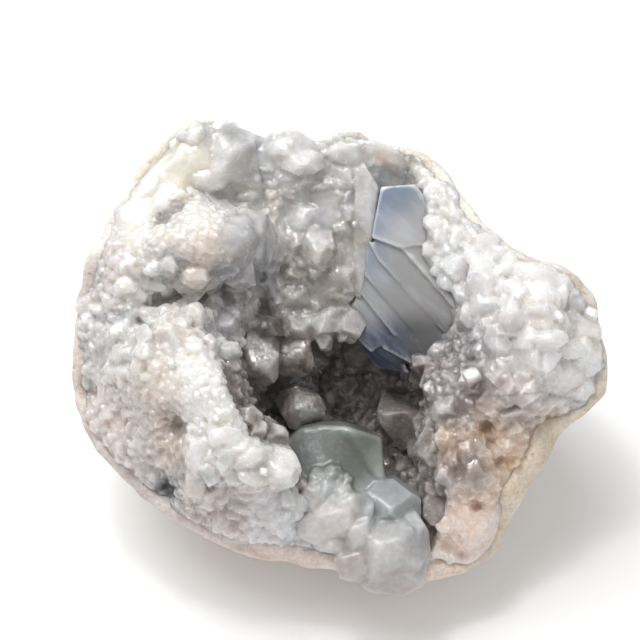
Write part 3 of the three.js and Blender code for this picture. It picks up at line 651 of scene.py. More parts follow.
def bell(x, y, px, py, reach):
    """1 at a spot of the face, falling off smoothly around it."""
    return np.exp(-((x - px) ** 2 + (y - py) ** 2) / (2 * reach**2))


def blended(x, y, spots):
    """Heights or colours blended from spots of the face: x, y, reach and value."""
    total, weights = 0, 1e-9
    for px, py, reach, value in spots:
        weight = bell(x, y, px, py, reach)
        weights = weights + weight
        total = total + np.multiply.outer(weight, value)
    return (total.T / weights.T).T


def face_height(x, y):
    """Height of the opened face, with its finer details."""
    height = blended(x, y, [(px, py, RELIEF_REACH, value) for px, py, value in HEIGHTS])
    for px, py, reach, rise in DETAILS:
        height = height + rise * bell(x, y, px, py, reach)
    return height


def polygon_distance(x, y, corners):
    """Signed distance to a closed polygon, negative inside."""
    nearest = np.full(np.shape(x), 1e9)
    inside = np.zeros(np.shape(x), bool)
    for i, (ax, ay) in enumerate(corners):
        bx, by = corners[i - 1]
        ex, ey = bx - ax, by - ay
        share = np.clip(((x - ax) * ex + (y - ay) * ey) / (ex * ex + ey * ey), 0, 1)
        nearest = np.minimum(nearest, np.hypot(x - ax - share * ex, y - ay - share * ey))
        crosses = ((ay > y) != (by > y)) & (x < ax + (y - ay) * ex / (ey or 1e-9))
        inside ^= crosses
    return np.where(inside, -nearest, nearest)


def chamber_distance(x, y, z):
    """Signed distance to the chamber's empty space, negative inside."""
    distance = np.maximum(polygon_distance(x, y, MOUTH), CHAMBER_FLOOR - z)
    for centre, half in POCKETS:
        scaled = [(v - c) / h for v, c, h in zip((x, y, z), centre, half)]
        reach = np.sqrt(sum(v * v for v in scaled))
        distance = -smooth_max(-distance, (1 - reach) * min(half), POCKET_ROUNDING)
    return distance


# ---- Grids of signed distances, and their surfaces ----

def spline_weights(axis, size):
    """Cubic B-spline weights of an axis's points on a coarser lattice."""
    place = (axis - axis[0]) / size + 1
    base = np.floor(place).astype(int)
    t = place - base
    weights = np.zeros((len(axis), base.max() + 3))
    rows = np.arange(len(axis))
    parts = ((1 - t) ** 3, 3 * t**3 - 6 * t**2 + 4, 1 + 3 * t + 3 * t**2 - 3 * t**3, t**3)
    for step, part in enumerate(parts):
        weights[rows, base - 1 + step] = part / 6
    return weights


def spread(lattice, weights):
    """A coarse lattice of values spread smoothly over a fine grid."""
    for axis in range(3):
        lattice = np.moveaxis(np.tensordot(weights[axis], lattice, (1, axis)), 0, axis)
    return lattice


def grid_noise(axes, size):
    """Smooth noise with a standard deviation of 1 and lumps of the given size."""
    weights = [spline_weights(axis, size) for axis in axes]
    lattice = rng.standard_normal([w.shape[1] for w in weights])
    made = spread(lattice, weights)
    return made / made.std()


def layered_noise(axes, layers):
    return sum(height * grid_noise(axes, size) for size, height in layers)


def grid_axes(span, cell):
    return [np.arange(low, high, cell) for low, high in zip(*span)]


def largest_part(points, triangles):
    """Keeps the largest of a mesh's separate surfaces."""
    label = np.arange(len(points))
    edges = np.vstack((triangles[:, [0, 1]], triangles[:, [1, 2]]))
    while True:
        least = np.minimum(label[edges[:, 0]], label[edges[:, 1]])
        after = label.copy()
        np.minimum.at(after, edges[:, 0], least)
        np.minimum.at(after, edges[:, 1], least)
        after = after[after]
        if np.array_equal(after, label):
            break
        label = after
    main = np.bincount(label).argmax()
    kept = triangles[label[triangles[:, 0]] == main]
    used, corners = np.unique(kept, return_inverse=True)
    return points[used], corners.reshape(-1, 3)


def surface(distance, axes, cell, merging=0.0):
    """The closed surface where a grid of signed distances crosses zero."""
    grid = vdb.FloatGrid(LEVEL_BAND)
    near = np.clip(distance / cell, -LEVEL_BAND, LEVEL_BAND)
    grid.copyFromArray(near.astype(np.float32), tolerance=0.0)
    points, triangles = closed_surface(grid, merging)
    return points * cell + [axis[0] for axis in axes], triangles


def closed_surface(grid, merging=0.0):
    """A level set's surface as triangles that face outwards."""
    points, triangles, quads = grid.convertToPolygons(isovalue=0.0, adaptivity=merging)
    quads = quads.astype(int)
    triangles = np.vstack((
        quads[:, [0, 1, 2]], quads[:, [0, 2, 3]], triangles.reshape(-1, 3).astype(int),
    ))
    volume = np.einsum("ij,ij->i", points[triangles[:, 0]], across_faces(points, triangles)).sum()
    if volume < 0:
        triangles = triangles[:, ::-1]
    return largest_part(points, triangles)


def across_faces(points, triangles):
    """Each triangle's normal, as long as twice its area."""
    a, b, c = (points[triangles[:, i]] for i in range(3))
    return np.cross(b - a, c - a)


def point_normals(points, triangles):
    across = across_faces(points, triangles)
    normals = np.zeros_like(points)
    for i in range(3):
        np.add.at(normals, triangles[:, i], across)
    return unit(normals)


def nodule_norm(x, y, z, inset):
    """1 on the plain nodule's skin, less inside it."""
    side = np.hypot(x, y) / (edge_radius(x, y) + FACET_ALLOWANCE - inset)
    reach = np.abs(z) / np.where(z < 0, NODULE_DEPTH, NODULE_FRONT)
    return (side**NODULE_FULLNESS + reach**NODULE_FULLNESS) ** (1 / NODULE_FULLNESS)


def lump_values():
    """Directions in which the CAD nodule's skin is known, and how far it stands out there."""
    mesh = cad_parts["rock_shell"].data
    world = np.array([vertex.co for vertex in mesh.vertices])
    x, y, z = to_face(world).T
    norm = nodule_norm(x, y, z, 0)
    behind = z < face_height(x, y) - CRUST_THICKNESS
    on_skin = (norm > SKIN_NORM) & behind & (world[:, 2] > SPOT_HEIGHT)
    radius = edge_radius(x, y) + FACET_ALLOWANCE
    ways = unit(np.column_stack((x / radius, y / radius, z / NODULE_DEPTH)))
    return ways[on_skin], norm[on_skin]


def nodule_lumps(axes, step=5, sharpness=0.07):
    """The CAD nodule's own lumps, on a grid of the face frame."""
    ways, values = lump_values()
    coarse = [np.arange(axis[0] - step, axis[-1] + 3 * step, step) for axis in axes]
    x, y, z = np.meshgrid(*coarse, indexing="ij")
    radius = edge_radius(x, y) + FACET_ALLOWANCE
    asked = unit(np.stack((x / radius, y / radius, z / NODULE_DEPTH), axis=-1)).reshape(-1, 3)
    weights = np.exp((asked @ ways.T - 1) / sharpness**2)
    lattice = (weights @ values + 1e-6) / (weights.sum(1) + 1e-6)
    return resample(lattice.reshape(x.shape), coarse, axes)


def resample(lattice, coarse, axes):
    """Values of a coarse grid at the points of a fine one, along each axis in turn."""
    for i, (old, new) in enumerate(zip(coarse, axes)):
        place = (new - old[0]) / (old[1] - old[0])
        base = np.floor(place).astype(int)
        shape = [1, 1, 1]
        shape[i] = len(new)
        share = (place - base).reshape(shape)
        lattice = (
            np.take(lattice, base, i) * (1 - share) + np.take(lattice, base + 1, i) * share
        )
    return lattice


def face_term(x, z, height):
    """Distance in front of a surface given by its height on the grid's columns."""
    cell = x[1, 0, 0] - x[0, 0, 0]
    slope = np.hypot(*np.gradient(height, cell))
    return (z - height[:, :, None]) / np.sqrt(1 + slope**2)[:, :, None]


def box_term(x, y, z):
    """Signed distance to the CAD model's box, negative inside."""
    distance = np.float32(-1e9)
    for place, centre, low, high in zip(leant(x, y, z), FACE_CENTRE, *cad_box):
        world = place + centre
        distance = np.maximum(distance, np.maximum(low * 1000 - world, world - high * 1000))
    return distance


def crust_bed():
    """The massive celestite under the free crystals."""
    axes = grid_axes(BED_SPAN, BED_CELL)
    x, y, z = np.meshgrid(*axes, indexing="ij")
    flat_x, flat_y = x[:, :, 0], y[:, :, 0]
    height = face_height(flat_x, flat_y)
    rock = height - rock_cover(flat_x, flat_y)
    size, width = RIND_WAVER
    waver = width * grid_noise(axes, size)
    norm = nodule_norm(x, y, z, bare_rind(flat_x, flat_y)[:, :, None] + waver)
    edge = (norm - 1) * np.sqrt(x * x + y * y + z * z) / norm
    uneven = layered_noise(axes, BED_LUMPS)
    chamber = chamber_distance(x, y, z)
    front = smooth_max(edge, face_term(x, z, height) + uneven, BED_ROUNDING)
    lip = smooth_step(*LIP_DEPTHS, height[:, :, None] - z)
    inset = CHAMBER_INSET + (LIP_INSET - CHAMBER_INSET) * lip
    open_front = np.maximum(front, inset - chamber + LINING_UNEVENNESS * uneven)
    behind = np.minimum(rock[:, :, None] - BED_OVERLAP - z, chamber - LINING_THICKNESS)
    return surface(np.maximum(open_front, behind), axes, BED_CELL)


def rock_cover(x, y):
    """Depth of the rock under the face: none on the bare rind, more under the crust."""
    depth = inside_crust(x, y)
    under_edge = CRUST_EDGE * smooth_step(*EDGE_SLOPE, depth)
    return under_edge + (CRUST_THICKNESS - CRUST_EDGE) * smooth_step(*CRUST_SLOPE, depth)


def limestone():
    """The nodule with its broken front, its chamber and the flat spot that it rests on."""
    axes = grid_axes(ROCK_SPAN, ROCK_CELL)
    x, y, z = np.meshgrid(*axes, indexing="ij")
    flat_x, flat_y = x[:, :, 0], y[:, :, 0]
    height = face_height(flat_x, flat_y) - rock_cover(flat_x, flat_y)
    grain = layered_noise(axes, ROCK_GRAIN)
    norm = nodule_norm(x, y, z, 0) / nodule_lumps(axes)
    skin = (norm - 1) * np.sqrt(x * x + y * y + z * z) / norm + grain - SKIN_LIFT
    face = face_term(x, z, height) + BROKEN_GRAIN * grain
    broken = smooth_max(skin, face, ROCK_ROUNDING)
    whole = smooth_max(broken, box_term(x, y, z), SPOT_ROUNDING)
    chamber = chamber_distance(x, y, z) - LINING_THICKNESS - LINING_GAP
    chamber = np.maximum(chamber, RIM_WIDTH - inside_crust(flat_x, flat_y)[:, :, None])
    return surface(np.maximum(whole, -chamber), axes, ROCK_CELL)


# ---- Crystals ----

def facing(turn, tilt, distance):
    """A plane by its normal's turn and tilt from the crystal's axis, and its distance."""
    turn, tilt = math.radians(turn), math.radians(tilt)
    return (
        math.sin(tilt) * math.cos(turn), math.sin(tilt) * math.sin(turn), math.cos(tilt), distance,
    )


def solid_corners(planes):
    """Corners of the convex solid behind all the planes."""
    planes = np.array(planes)
    count = len(planes)
    chosen = np.array([
        (i, j, k) for i in range(count) for j in range(i + 1, count) for k in range(j + 1, count)
    ])
    normals = planes[chosen, :3]
    clear = np.abs(np.linalg.det(normals)) > 1e-3
    corners = np.linalg.solve(normals[clear], planes[chosen[clear], 3][..., None])[..., 0]
    behind = (corners @ planes[:, :3].T <= planes[:, 3] + 1e-6).all(1)
    return np.unique(np.round(corners[behind], 5), axis=0)


def mesh_arrays(made):
    """Points and triangles of a bmesh, which is freed."""
    bmesh.ops.triangulate(made, faces=made.faces[:])
    made.verts.index_update()
    points = np.array([v.co for v in made.verts])
    triangles = np.array([[v.index for v in face.verts] for face in made.faces])
    made.free()
    return points, triangles


def convex_mesh(corners, bevel, segments, foot=-1e9):
    """The hull of some corners, its edges above the foot bevelled: points and triangles."""
    made = bmesh.new()
    for corner in corners:
        made.verts.new(corner)
    hull = bmesh.ops.convex_hull(made, input=made.verts[:])
    inner = set(hull["geom_interior"] + hull["geom_unused"])
    bmesh.ops.delete(made, geom=[part for part in inner if isinstance(part, bmesh.types.BMVert)])
    bmesh.ops.dissolve_limit(
        made, angle_limit=math.radians(FLAT_ANGLE), verts=made.verts[:], edges=made.edges[:],
    )
    if bevel:
        edges = [e for e in made.edges if max(v.co.z for v in e.verts) > foot]
        bmesh.ops.bevel(
            made, geom=edges, offset=bevel, segments=segments, profile=0.5, affect="EDGES",
            clamp_overlap=True,
        )
    return mesh_arrays(made)


def crystal_corners(thickness):
    """A celestite crystal of size 1 on its foot: corners of a solid behind a few planes.

    The planes are its prism, its two pairs of sides with a slanting face above each, and its
    top. Their turns, tilts and distances vary a little from crystal to crystal.
    """
    planes = [(0, 0, -1, -CRYSTAL_FOOT)]
    for turn in (50, 130, 230, 310):
        tilt = 90 + rng.normal(-3, 3)
        planes.append(facing(turn + rng.normal(0, 5), tilt, 0.5 * rng.uniform(0.85, 1.12)))
    for turn in (90, 270):
        planes.append(facing(turn + rng.normal(0, 3), 90, 0.5 * thickness * rng.uniform(0.9, 1.1)))
        tilt = rng.uniform(36, 54)
        planes.append(facing(turn + rng.normal(0, 8), tilt, rng.uniform(0.42, 0.6)))
    for turn in (0, 180):
        tilt = rng.uniform(36, 62)
        planes.append(facing(turn + rng.normal(0, 8), tilt, rng.uniform(0.45, 0.66)))
        planes.append(facing(turn + rng.normal(0, 3), 90, 0.5 * rng.uniform(0.95, 1.2)))
    planes.append(facing(rng.uniform(0, 360), rng.uniform(0, 9), rng.uniform(0.5, 0.75)))
    return solid_corners(planes)


def lump_form():
    """A smooth, uneven lump of size 1 with a few flattened sides."""
    made = bmesh.new()
    bmesh.ops.create_icosphere(made, subdivisions=5, radius=0.5)
    points, triangles = mesh_arrays(made)
    points *= swollen(points, *LUMP_SWELLS)
    for way in unit(rng.standard_normal((LUMP_FLATS, 3))):
        beyond = points @ way - rng.uniform(*FLAT_REACH)
        points -= (FLATTENING * np.maximum(beyond, 0))[:, None] * way
    points *= swollen(points, *LUMP_RIPPLES)
    return points, triangles


def swollen(points, height, size):
    """Factors that swell a form in waves."""
    return 1 + height * waves(points, size)[:, None]


def plate_form():
    """A low crystal of size 1 with a flat top."""
    planes = [facing(turn, 88, 0.5) for turn in (8, 98, 188, 278)]
    planes += [facing(turn, 45, 0.68) for turn in (53, 233)]
    planes += [(0, 0, -1, 0.5), (0, 0, 1, 0.5)]
    return convex_mesh(solid_corners(planes), PLATE_BEVEL, 1)


def crystal_forms():
    forms = {"lump": [lump_form() for _ in range(LUMP_FORMS)], "plate": [plate_form()]}
    for kind, facts in KINDS.items():
        forms[kind] = [
            convex_mesh(
                crystal_corners(rng.uniform(*facts["thickness"])), facts["bevel"],
                facts["segments"], foot=BEVEL_FOOT,
            )
            for _ in range(facts["count"])
        ]
    return forms


def sample_surface(points, triangles, count):
    """Chance places on a surface, even by area, with their normals."""
    normals = point_normals(points, triangles)
    area = np.linalg.norm(across_faces(points, triangles), axis=1)
    chosen = rng.choice(len(triangles), count, p=area / area.sum())
    u, v = rng.random((2, count, 1))
    flip = u + v > 1
    u, v = np.where(flip, 1 - u, u), np.where(flip, 1 - v, v)
    corners = triangles[chosen]
    shares = (1 - u - v, u, v)
    places = sum(share * points[corners[:, i]] for i, share in enumerate(shares))
    outward = sum(share * normals[corners[:, i]] for i, share in enumerate(shares))
    return places, unit(outward)


def thin_out(places, spacing):
    """Chosen places with no other nearer to one than its spacing."""
    tree = kdtree.KDTree(len(places))
    for i, place in enumerate(places):
        tree.insert(place, i)
    tree.balance()
    free = np.ones(len(places), bool)
    kept = []
    for i in range(len(places)):
        if free[i]:
            kept.append(i)
            for _, other, _ in tree.find_range(places[i], spacing[i]):
                free[other] = False
    return np.array(kept)


def blade_bodies(blades, bevel):
    """Each blade as a closed convex body with bevelled edges."""
    for front, root in blades:
        corners = np.array(front + [(x, y, root) for x, y, _ in front], float)
        yield convex_mesh(corners, bevel, BEVEL_STEPS)


def blade_planes(blades, grow):
    """Each blade's faces as planes, moved outwards."""
    solids = []
    for points, triangles in blade_bodies(blades, 0):
        normals = unit(across_faces(points, triangles))
        reach = np.einsum("ij,ij->i", normals, points[triangles[:, 0]])
        solids.append((normals, reach + grow))
    return solids


def inside_any(places, solids):
    found = np.zeros(len(places), bool)
    for normals, reach in solids:
        found |= (places @ normals.T < reach).all(1)
    return found


def zone_of(places):
    """The zone that each place belongs to; -1 inside the chamber."""
    x, y, z = places.T
    scores = np.column_stack([
        -((x - zone.at[0]) ** 2 + (y - zone.at[1]) ** 2) / (2 * zone.reach**2) for zone in ZONES
    ])
    scores += ZONE_BLUR * rng.standard_normal(scores.shape)
    deep = z < face_height(x, y) - CHAMBER_DEPTH
    return np.where(deep, -1, scores.argmax(1))


def all_masses():
    masses = [Mass(*facts) for group in MASSES.values() for facts in group]
    for number, (x, y, size, rise) in enumerate(GLINTS):
        masses.append(Mass(
            (x, y), (size, GLINT_HEIGHT * size), GLINT_TURN * number, GLINT_LEAN, rise,
            GLINT_COLOUR, "plate",
        ))
    return masses


ALL_MASSES = all_masses()


def reach_from(mass, x, y):
    """Squared distance from a mass's centre: 1 on the rim of its ellipse."""
    (px, py), (width, height) = mass.at, mass.size
    cosine, sine = math.cos(math.radians(mass.turn)), math.sin(math.radians(mass.turn))
    along = ((x - px) * cosine + (y - py) * sine) / (width / 2)
    across = ((y - py) * cosine - (x - px) * sine) / (height / 2)
    return along**2 + across**2


def mass_feet():
    """Where the masses stand: places, directions, turns, scales and kinds."""
    x, y = np.array([mass.at for mass in ALL_MASSES], float).T
    width, height = np.array([mass.size for mass in ALL_MASSES], float).T
    deep = MASS_DEPTH * (width + height) / 2
    top = np.array([FORM_TOPS[mass.kind] for mass in ALL_MASSES])
    z = face_height(x, y) + [mass.rise for mass in ALL_MASSES] - top * deep
    return (
        np.column_stack((x, y, z)), unit(np.array([(*mass.lean, 1) for mass in ALL_MASSES])),
        np.radians([mass.turn for mass in ALL_MASSES]), np.column_stack((width, height, deep)),
        [mass.kind for mass in ALL_MASSES],
    )


def colour_at(places):
    """The druse's colour at places, blended from the zones and masses near by; places deeper under
    the face are darkened towards the chamber's colour as painted shade.
    """
    x, y, z = places.T
    colours = blended(x, y, [(*zone.at, ZONE_FADE * zone.reach, zone.colour) for zone in ZONES])
    # Painted shade: deeper places take the chamber's dark colour.
    depth = face_height(x, y) - z
    deep = smooth_step(*SHADE_DEPTHS, depth)[:, None]
    colours = colours * (1 - deep) + np.array(SHADED_CHAMBER_ZONE.colour) * deep
    for mass in ALL_MASSES:
        share = MASS_TINT * np.exp(-MASS_FADE * reach_from(mass, x, y) ** 2)
        share *= smooth_step(*MASS_TINT_DEPTHS, depth + mass.rise)
        colours += share[:, None] * (np.array(mass.colour) - colours)
    return colours


def on_front(places, normals):
    """Whether the surface looks into open space, and not at the rock behind it."""
    x, y, z = (places + SIGHT_STEP * normals).T
    before_face = z > face_height(x, y) - SIGHT_COVER
    return before_face | (chamber_distance(x, y, z) < SIGHT_SLACK)


def waves(places, size, count=24):
    """Smooth noise at places, with a standard deviation of 1."""
    ways = rng.standard_normal((count, 3)) * WAVE_RATE / size
    shifts = rng.uniform(0, 2 * math.pi, count)
    return np.cos(places @ ways.T + shifts).sum(1) * math.sqrt(2 / count)


def standing_places(bed):
    """Chance places on the bed where a free crystal may stand, with their normals."""
    places, normals = sample_surface(*bed, BED_SAMPLES)
    x, y, z = places.T
    free = on_front(places, normals) & (inside_crust(x, y) > FOOT_MARGIN)
    free &= ~inside_any(places, blade_planes(BLUE_PLANKS + FRONT_BLOCKS + BAND, FOOT_MARGIN))
    for (px, py), (width, height), _, top in FRONT_LUMPS:
        across = ((x - px) / width) ** 2 + ((y - py) / height) ** 2
        free &= (across > FRONT_LUMP_CLEARING) | (z > top)
    for mass in ALL_MASSES:
        free &= reach_from(mass, x, y) >= FORM_CLEARINGS[mass.kind]
    for px, py, reach, rise in DETAILS:
        if rise < DEEP_PIT:
            free &= np.hypot(x - px, y - py) >= PIT_CLEARING * reach
    return places[free], normals[free]


def druse_feet(bed):
    """Where the free crystals stand: places, directions and sizes."""
    places, normals = standing_places(bed)
    zones = zone_of(places)
    zone_list = [*ZONES, SHADED_CHAMBER_ZONE]
    low, high = np.array([zone.sizes for zone in zone_list])[zones].T
    sizes = low * (high / low) ** rng.random(len(places))
    reach, strength = CLUSTERING
    sizes *= np.exp(strength * waves(places, reach))
    groups = np.array([zone.group for zone in zone_list])
    from_lip = smooth_step(0, LIP_REACH, chamber_distance(*places.T))
    sizes *= np.where(groups[zones] == "left", LIP_SIZE + (1 - LIP_SIZE) * from_lip, 1)
    sunk, spacing, lean, filled = np.array([GROUPS[group] for group in groups])[zones].T
    main = thin_out(places, spacing * sizes)
    half = len(places) // 2
    fill = half + thin_out(places[half:], FILL_SPACING * FILL_SHARE * sizes[half:])
    fill = fill[rng.random(len(fill)) < filled[fill]]
    chosen = np.concatenate((main, fill))
    sizes = np.concatenate((sizes[main], FILL_SHARE * sizes[fill]))
    normals = normals[chosen]
    ways = unit(normals + lean[chosen, None] * rng.standard_normal(normals.shape))
    return places[chosen] - (sunk[chosen] * sizes)[:, None] * normals, ways, sizes


def turned_to(directions, spins):
    """Turns that bring the z axis to each direction, after a spin about it."""
    second = unit(np.cross(directions, np.where(directions[:, :1] < 0.9, [[1, 0, 0]], [[0, 0, 1]])))
    first = np.cross(second, directions)
    cosine, sine = np.cos(spins)[:, None], np.sin(spins)[:, None]
    return np.stack(
        (cosine * first + sine * second, cosine * second - sine * first, directions), axis=2,
    )


def joined_crystals(forms, kinds, places, turns, scales):
    """All the crystals as one mesh."""
    points, triangles = [], []
    start = 0
    for kind, shapes in forms.items():
        mine = np.flatnonzero(kinds == kind)
        which = rng.integers(0, len(shapes), len(mine))
        for number, (shape, corners) in enumerate(shapes):
            group = mine[which == number]
            if not len(group):
                continue
            grown = shape[None] * scales[group][:, None]
            turned = np.einsum("nij,nkj->nki", turns[group], grown) + places[group][:, None]
            points.append(turned.reshape(-1, 3))
            offsets = start + len(shape) * np.arange(len(group))
            triangles.append((corners[None] + offsets[:, None, None]).reshape(-1, 3))
            start += len(group) * len(shape)
    return np.concatenate(points), np.concatenate(triangles)


# ---- Meshes and materials ----

def add_piece(name, points, triangles, material, node, tint, crease=180, grain=None):
    """A mesh of the object in the row frame, that stands for a CAD node."""
    mesh = bpy.data.meshes.new(name)
    mesh.vertices.add(len(points))
    mesh.vertices.foreach_set("co", to_world(points).astype(np.float32).ravel())
    mesh.loops.add(triangles.size)
    mesh.loops.foreach_set("vertex_index", triangles.astype(np.int32).ravel())
    mesh.polygons.add(len(triangles))
    mesh.polygons.foreach_set("loop_start", np.arange(0, triangles.size, 3, dtype=np.int32))
    mesh.update()
    mesh.shade_smooth()
    mesh.set_sharp_from_angle(angle=math.radians(crease))
    layer = mesh.attributes.new("tint", "FLOAT_COLOR", "POINT")
    layer.data.foreach_set("color", np.column_stack((tint, np.ones(len(tint)))).ravel())
    if grain is not None:
        layer = mesh.attributes.new("grain", "FLOAT", "POINT")
        layer.data.foreach_set("value", grain)
    mesh.materials.append(material)
    piece = bpy.data.objects.new(name, mesh)
    bpy.context.scene.collection.objects.link(piece)
    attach(piece, "root")
    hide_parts(node)


class Nodes:
    """A material's node tree, built up by short calls."""

    def __init__(self, name):
        self.material = bpy.data.materials.new(name)
        self.material.use_nodes = True
        self.tree = self.material.node_tree
        self.shader = self.tree.nodes["Principled BSDF"]
        self.place = self.add("ShaderNodeTexCoord").outputs["Object"]

    def add(self, kind, inputs=(), **settings):
        node = self.tree.nodes.new(kind)
        for key, value in settings.items():
            setattr(node, key, value)
        for key, value in dict(inputs).items():
            self.set(node.inputs[key], value)
        return node

    def set(self, socket, value):
        if isinstance(value, bpy.types.NodeSocket):
            self.tree.links.new(value, socket)
        elif hasattr(socket.default_value, "__len__") and len(value) == 3:
            size = len(socket.default_value)
            socket.default_value = (*value, 1)[:size]
        else:
            socket.default_value = value

    def finish(self, **inputs):
        for key, value in inputs.items():
            self.set(self.shader.inputs[key.replace("_", " ")], value)
        return self.material

    def noise(self, size, detail=3, roughness=0.55, place=None):
        """Noise with lumps of a size in millimetres."""
        return self.add("ShaderNodeTexNoise", {
            "Vector": self.place if place is None else place, "Scale": 1000 / size,
            "Detail": detail, "Roughness": roughness,
        }).outputs["Fac"]

    def cells(self, size):
        """Cells of a size in millimetres, by the place, distance and colour of each."""
        return self.add("ShaderNodeTexVoronoi", {
            "Vector": self.place, "Scale": 1000 / size,
        }).outputs

    def facets(self, size, tilt, normal=None):
        """Relief of small flat faces, each with a slope of its own."""
        cells = self.cells(size)
        away = self.vectors("SUBTRACT", self.place, cells["Position"])
        slope = self.vectors("SUBTRACT", cells["Color"], (0.5, 0.5, 0.5))
        height = self.vectors("DOT_PRODUCT", away, slope, "Value")
        return self.bump(self.product(height, tilt), 1000, normal)

    def vectors(self, operation, a, b, result="Vector"):
        node = self.add("ShaderNodeVectorMath", {0: a, 1: b}, operation=operation)
        return node.outputs[result]

    def mapped(self, value, old, new):
        return self.add("ShaderNodeMapRange", {
            "Value": value, "From Min": old[0], "From Max": old[1],
            "To Min": new[0], "To Max": new[1],
        }).outputs["Result"]

    def mixed(self, share, a, b, blend="MIX"):
        node = self.add("ShaderNodeMix", data_type="RGBA", blend_type=blend)
        self.set(node.inputs["Factor"], share)
        self.set(node.inputs[6], a)
        self.set(node.inputs[7], b)
        return node.outputs[2]

    def multiplied(self, a, b):
        """A colour multiplied by another, or by a number."""
        return self.mixed(1.0, a, b, "MULTIPLY")

    def product(self, a, b):
        return self.add("ShaderNodeMath", {0: a, 1: b}, operation="MULTIPLY").outputs["Value"]

    def grain(self):
        return self.add("ShaderNodeAttribute", attribute_name="grain").outputs["Fac"]

    def tint(self):
        return self.add("ShaderNodeAttribute", attribute_name="tint").outputs["Color"]

    def pointiness(self):
        return self.add("ShaderNodeNewGeometry").outputs["Pointiness"]

    def bump(self, height, depth, normal=None):
        """Relief of a depth in millimetres."""
        inputs = {"Height": height, "Distance": depth / 1000, "Strength": 1.0}
        if normal is not None:
            inputs["Normal"] = normal
        return self.add("ShaderNodeBump", inputs).outputs["Normal"]


def limestone_material():
    m = Nodes("limestone")
    stains = m.mapped(m.noise(9, 4), (0.44, 0.62), (0, 0.5))
    chalk = m.mapped(m.noise(5, 4), (0.48, 0.64), (0, 0.5))
    grains = m.mapped(m.noise(0.9, 4, 0.7), (0.32, 0.68), (0.78, 1.08))
    pits = m.mapped(m.cells(1.9)["Distance"], (0.04, 0.24), (0.5, 1))
    holes = m.mapped(m.noise(3, 2), (0.5, 0.6), (0, 0.8))
    stained = m.mixed(stains, m.tint(), m.multiplied(m.tint(), (0.66, 0.56, 0.5)))
    chalky = m.mixed(chalk, stained, (0.82, 0.79, 0.74))
    shaded = m.multiplied(chalky, grains)
    colour = m.mixed(holes, shaded, pits, "MULTIPLY")
    relief = m.bump(m.noise(0.7, 5, 0.7), 0.35, m.bump(pits, 0.4, m.bump(m.noise(3.2, 4), 0.6)))
    return m.finish(
        Base_Color=colour, Roughness=0.85, Normal=relief, Subsurface_Weight=0.4,
        Subsurface_Radius=(1.0, 0.8, 0.6), Subsurface_Scale=0.0015,
    )


def celestite_colour(m):
    """The zone's tint, with milky clouds and clearer, greyer places in it."""
    clouds = m.mapped(m.noise(6, 4), (0.4, 0.62), (0, 1))
    clear = m.mapped(m.noise(4.5, 4), (0.5, 0.68), (0, 1))
    veils = m.mapped(m.noise(1.6, 3), (0.3, 0.7), (0.9, 1.06))
    milky = m.mixed(m.product(clouds, 0.35), m.tint(), (0.9, 0.89, 0.87))
    greyer = m.mixed(m.product(clear, 0.4), milky, m.multiplied(m.tint(), (0.66, 0.7, 0.7)))
    lilac = m.mapped(m.noise(5, 3), (0.46, 0.66), (0, 0.6))
    rosy = m.mixed(lilac, greyer, m.multiplied(greyer, (1, 0.95, 0.97)))
    beige = m.mapped(m.noise(3.4, 3), (0.5, 0.68), (0, 0.7))
    warm = m.mixed(beige, rosy, m.multiplied(rosy, (1, 0.95, 0.89)))
    return m.multiplied(warm, veils)


def druse_material():
    m = Nodes("celestite_druse")
    polish = m.mapped(m.noise(1.6, 3), (0.35, 0.65), (0.08, 0.28))
    coarse = m.facets(1.1, m.product(m.grain(), 0.35), m.bump(m.noise(0.5, 3), 0.03))
    relief = m.facets(0.5, m.product(m.grain(), 0.3), coarse)
    # Painted highlight on the crystals' sharp edges and painted shade in the gaps between them,
    # both read from the mesh's pointiness.
    edges = m.mapped(m.pointiness(), (0.5, 0.62), (0, 0.4))
    gaps = m.mapped(m.pointiness(), (0.47, 0.38), (0, 0.18))
    edge_highlit_colour = m.mixed(edges, celestite_colour(m), (0.97, 0.97, 0.98))
    colour = m.mixed(gaps, edge_highlit_colour, (0.5, 0.5, 0.5), "MULTIPLY")
    return m.finish(
        Base_Color=colour, Roughness=polish, Normal=relief, Subsurface_Weight=1.0,
        Subsurface_Radius=(1.05, 1, 0.95), Subsurface_Scale=0.005, IOR=1.6,
        Transmission_Weight=0.12, Coat_Weight=0.35, Coat_Roughness=0.05,
    )


def streaks(m, size, length):
    """Noise drawn out along the blades of the blue crystal."""
    along = (to_world([BLADE_WAY]) - to_world([(0, 0, 0)]))[0] * 1000
    along = tuple(along / np.linalg.norm(along))
    share = m.vectors("DOT_PRODUCT", m.place, along, "Value")
    drawn = m.add(
        "ShaderNodeVectorMath", {0: along, "Scale": m.product(share, 1 - size / length)},
        operation="SCALE",
    ).outputs["Vector"]
    return m.noise(size, place=m.vectors("SUBTRACT", m.place, drawn))


def blue_material():
    m = Nodes("blue_celestite")
    light = m.mapped(streaks(m, 2.6, 9), (0.5, 0.75), (0, 0.28))
    dark = m.mapped(streaks(m, 4, 10), (0.5, 0.75), (0, 0.25))
    veiled = m.mixed(light, m.tint(), (0.86, 0.88, 0.9))
    deep = m.mixed(dark, veiled, (0.78, 0.81, 0.87), "MULTIPLY")
    # Painted highlight: the blades' ridges, held in the grain attribute, are lightened towards a
    # pale blue-white.
    edges = m.mapped(m.grain(), (0.01, 0.05), (0, 0.7))
    relief = m.bump(streaks(m, 1.6, 9), 0.025, m.bump(m.noise(3, 2), 0.08))
    return m.finish(
        Base_Color=m.mixed(edges, deep, (0.93, 0.95, 0.97)), Roughness=0.14, Normal=relief,
        Subsurface_Weight=1.0, Subsurface_Radius=(0.9, 1, 1.15), Subsurface_Scale=0.003,
        IOR=1.62, Transmission_Weight=0.35,
    )


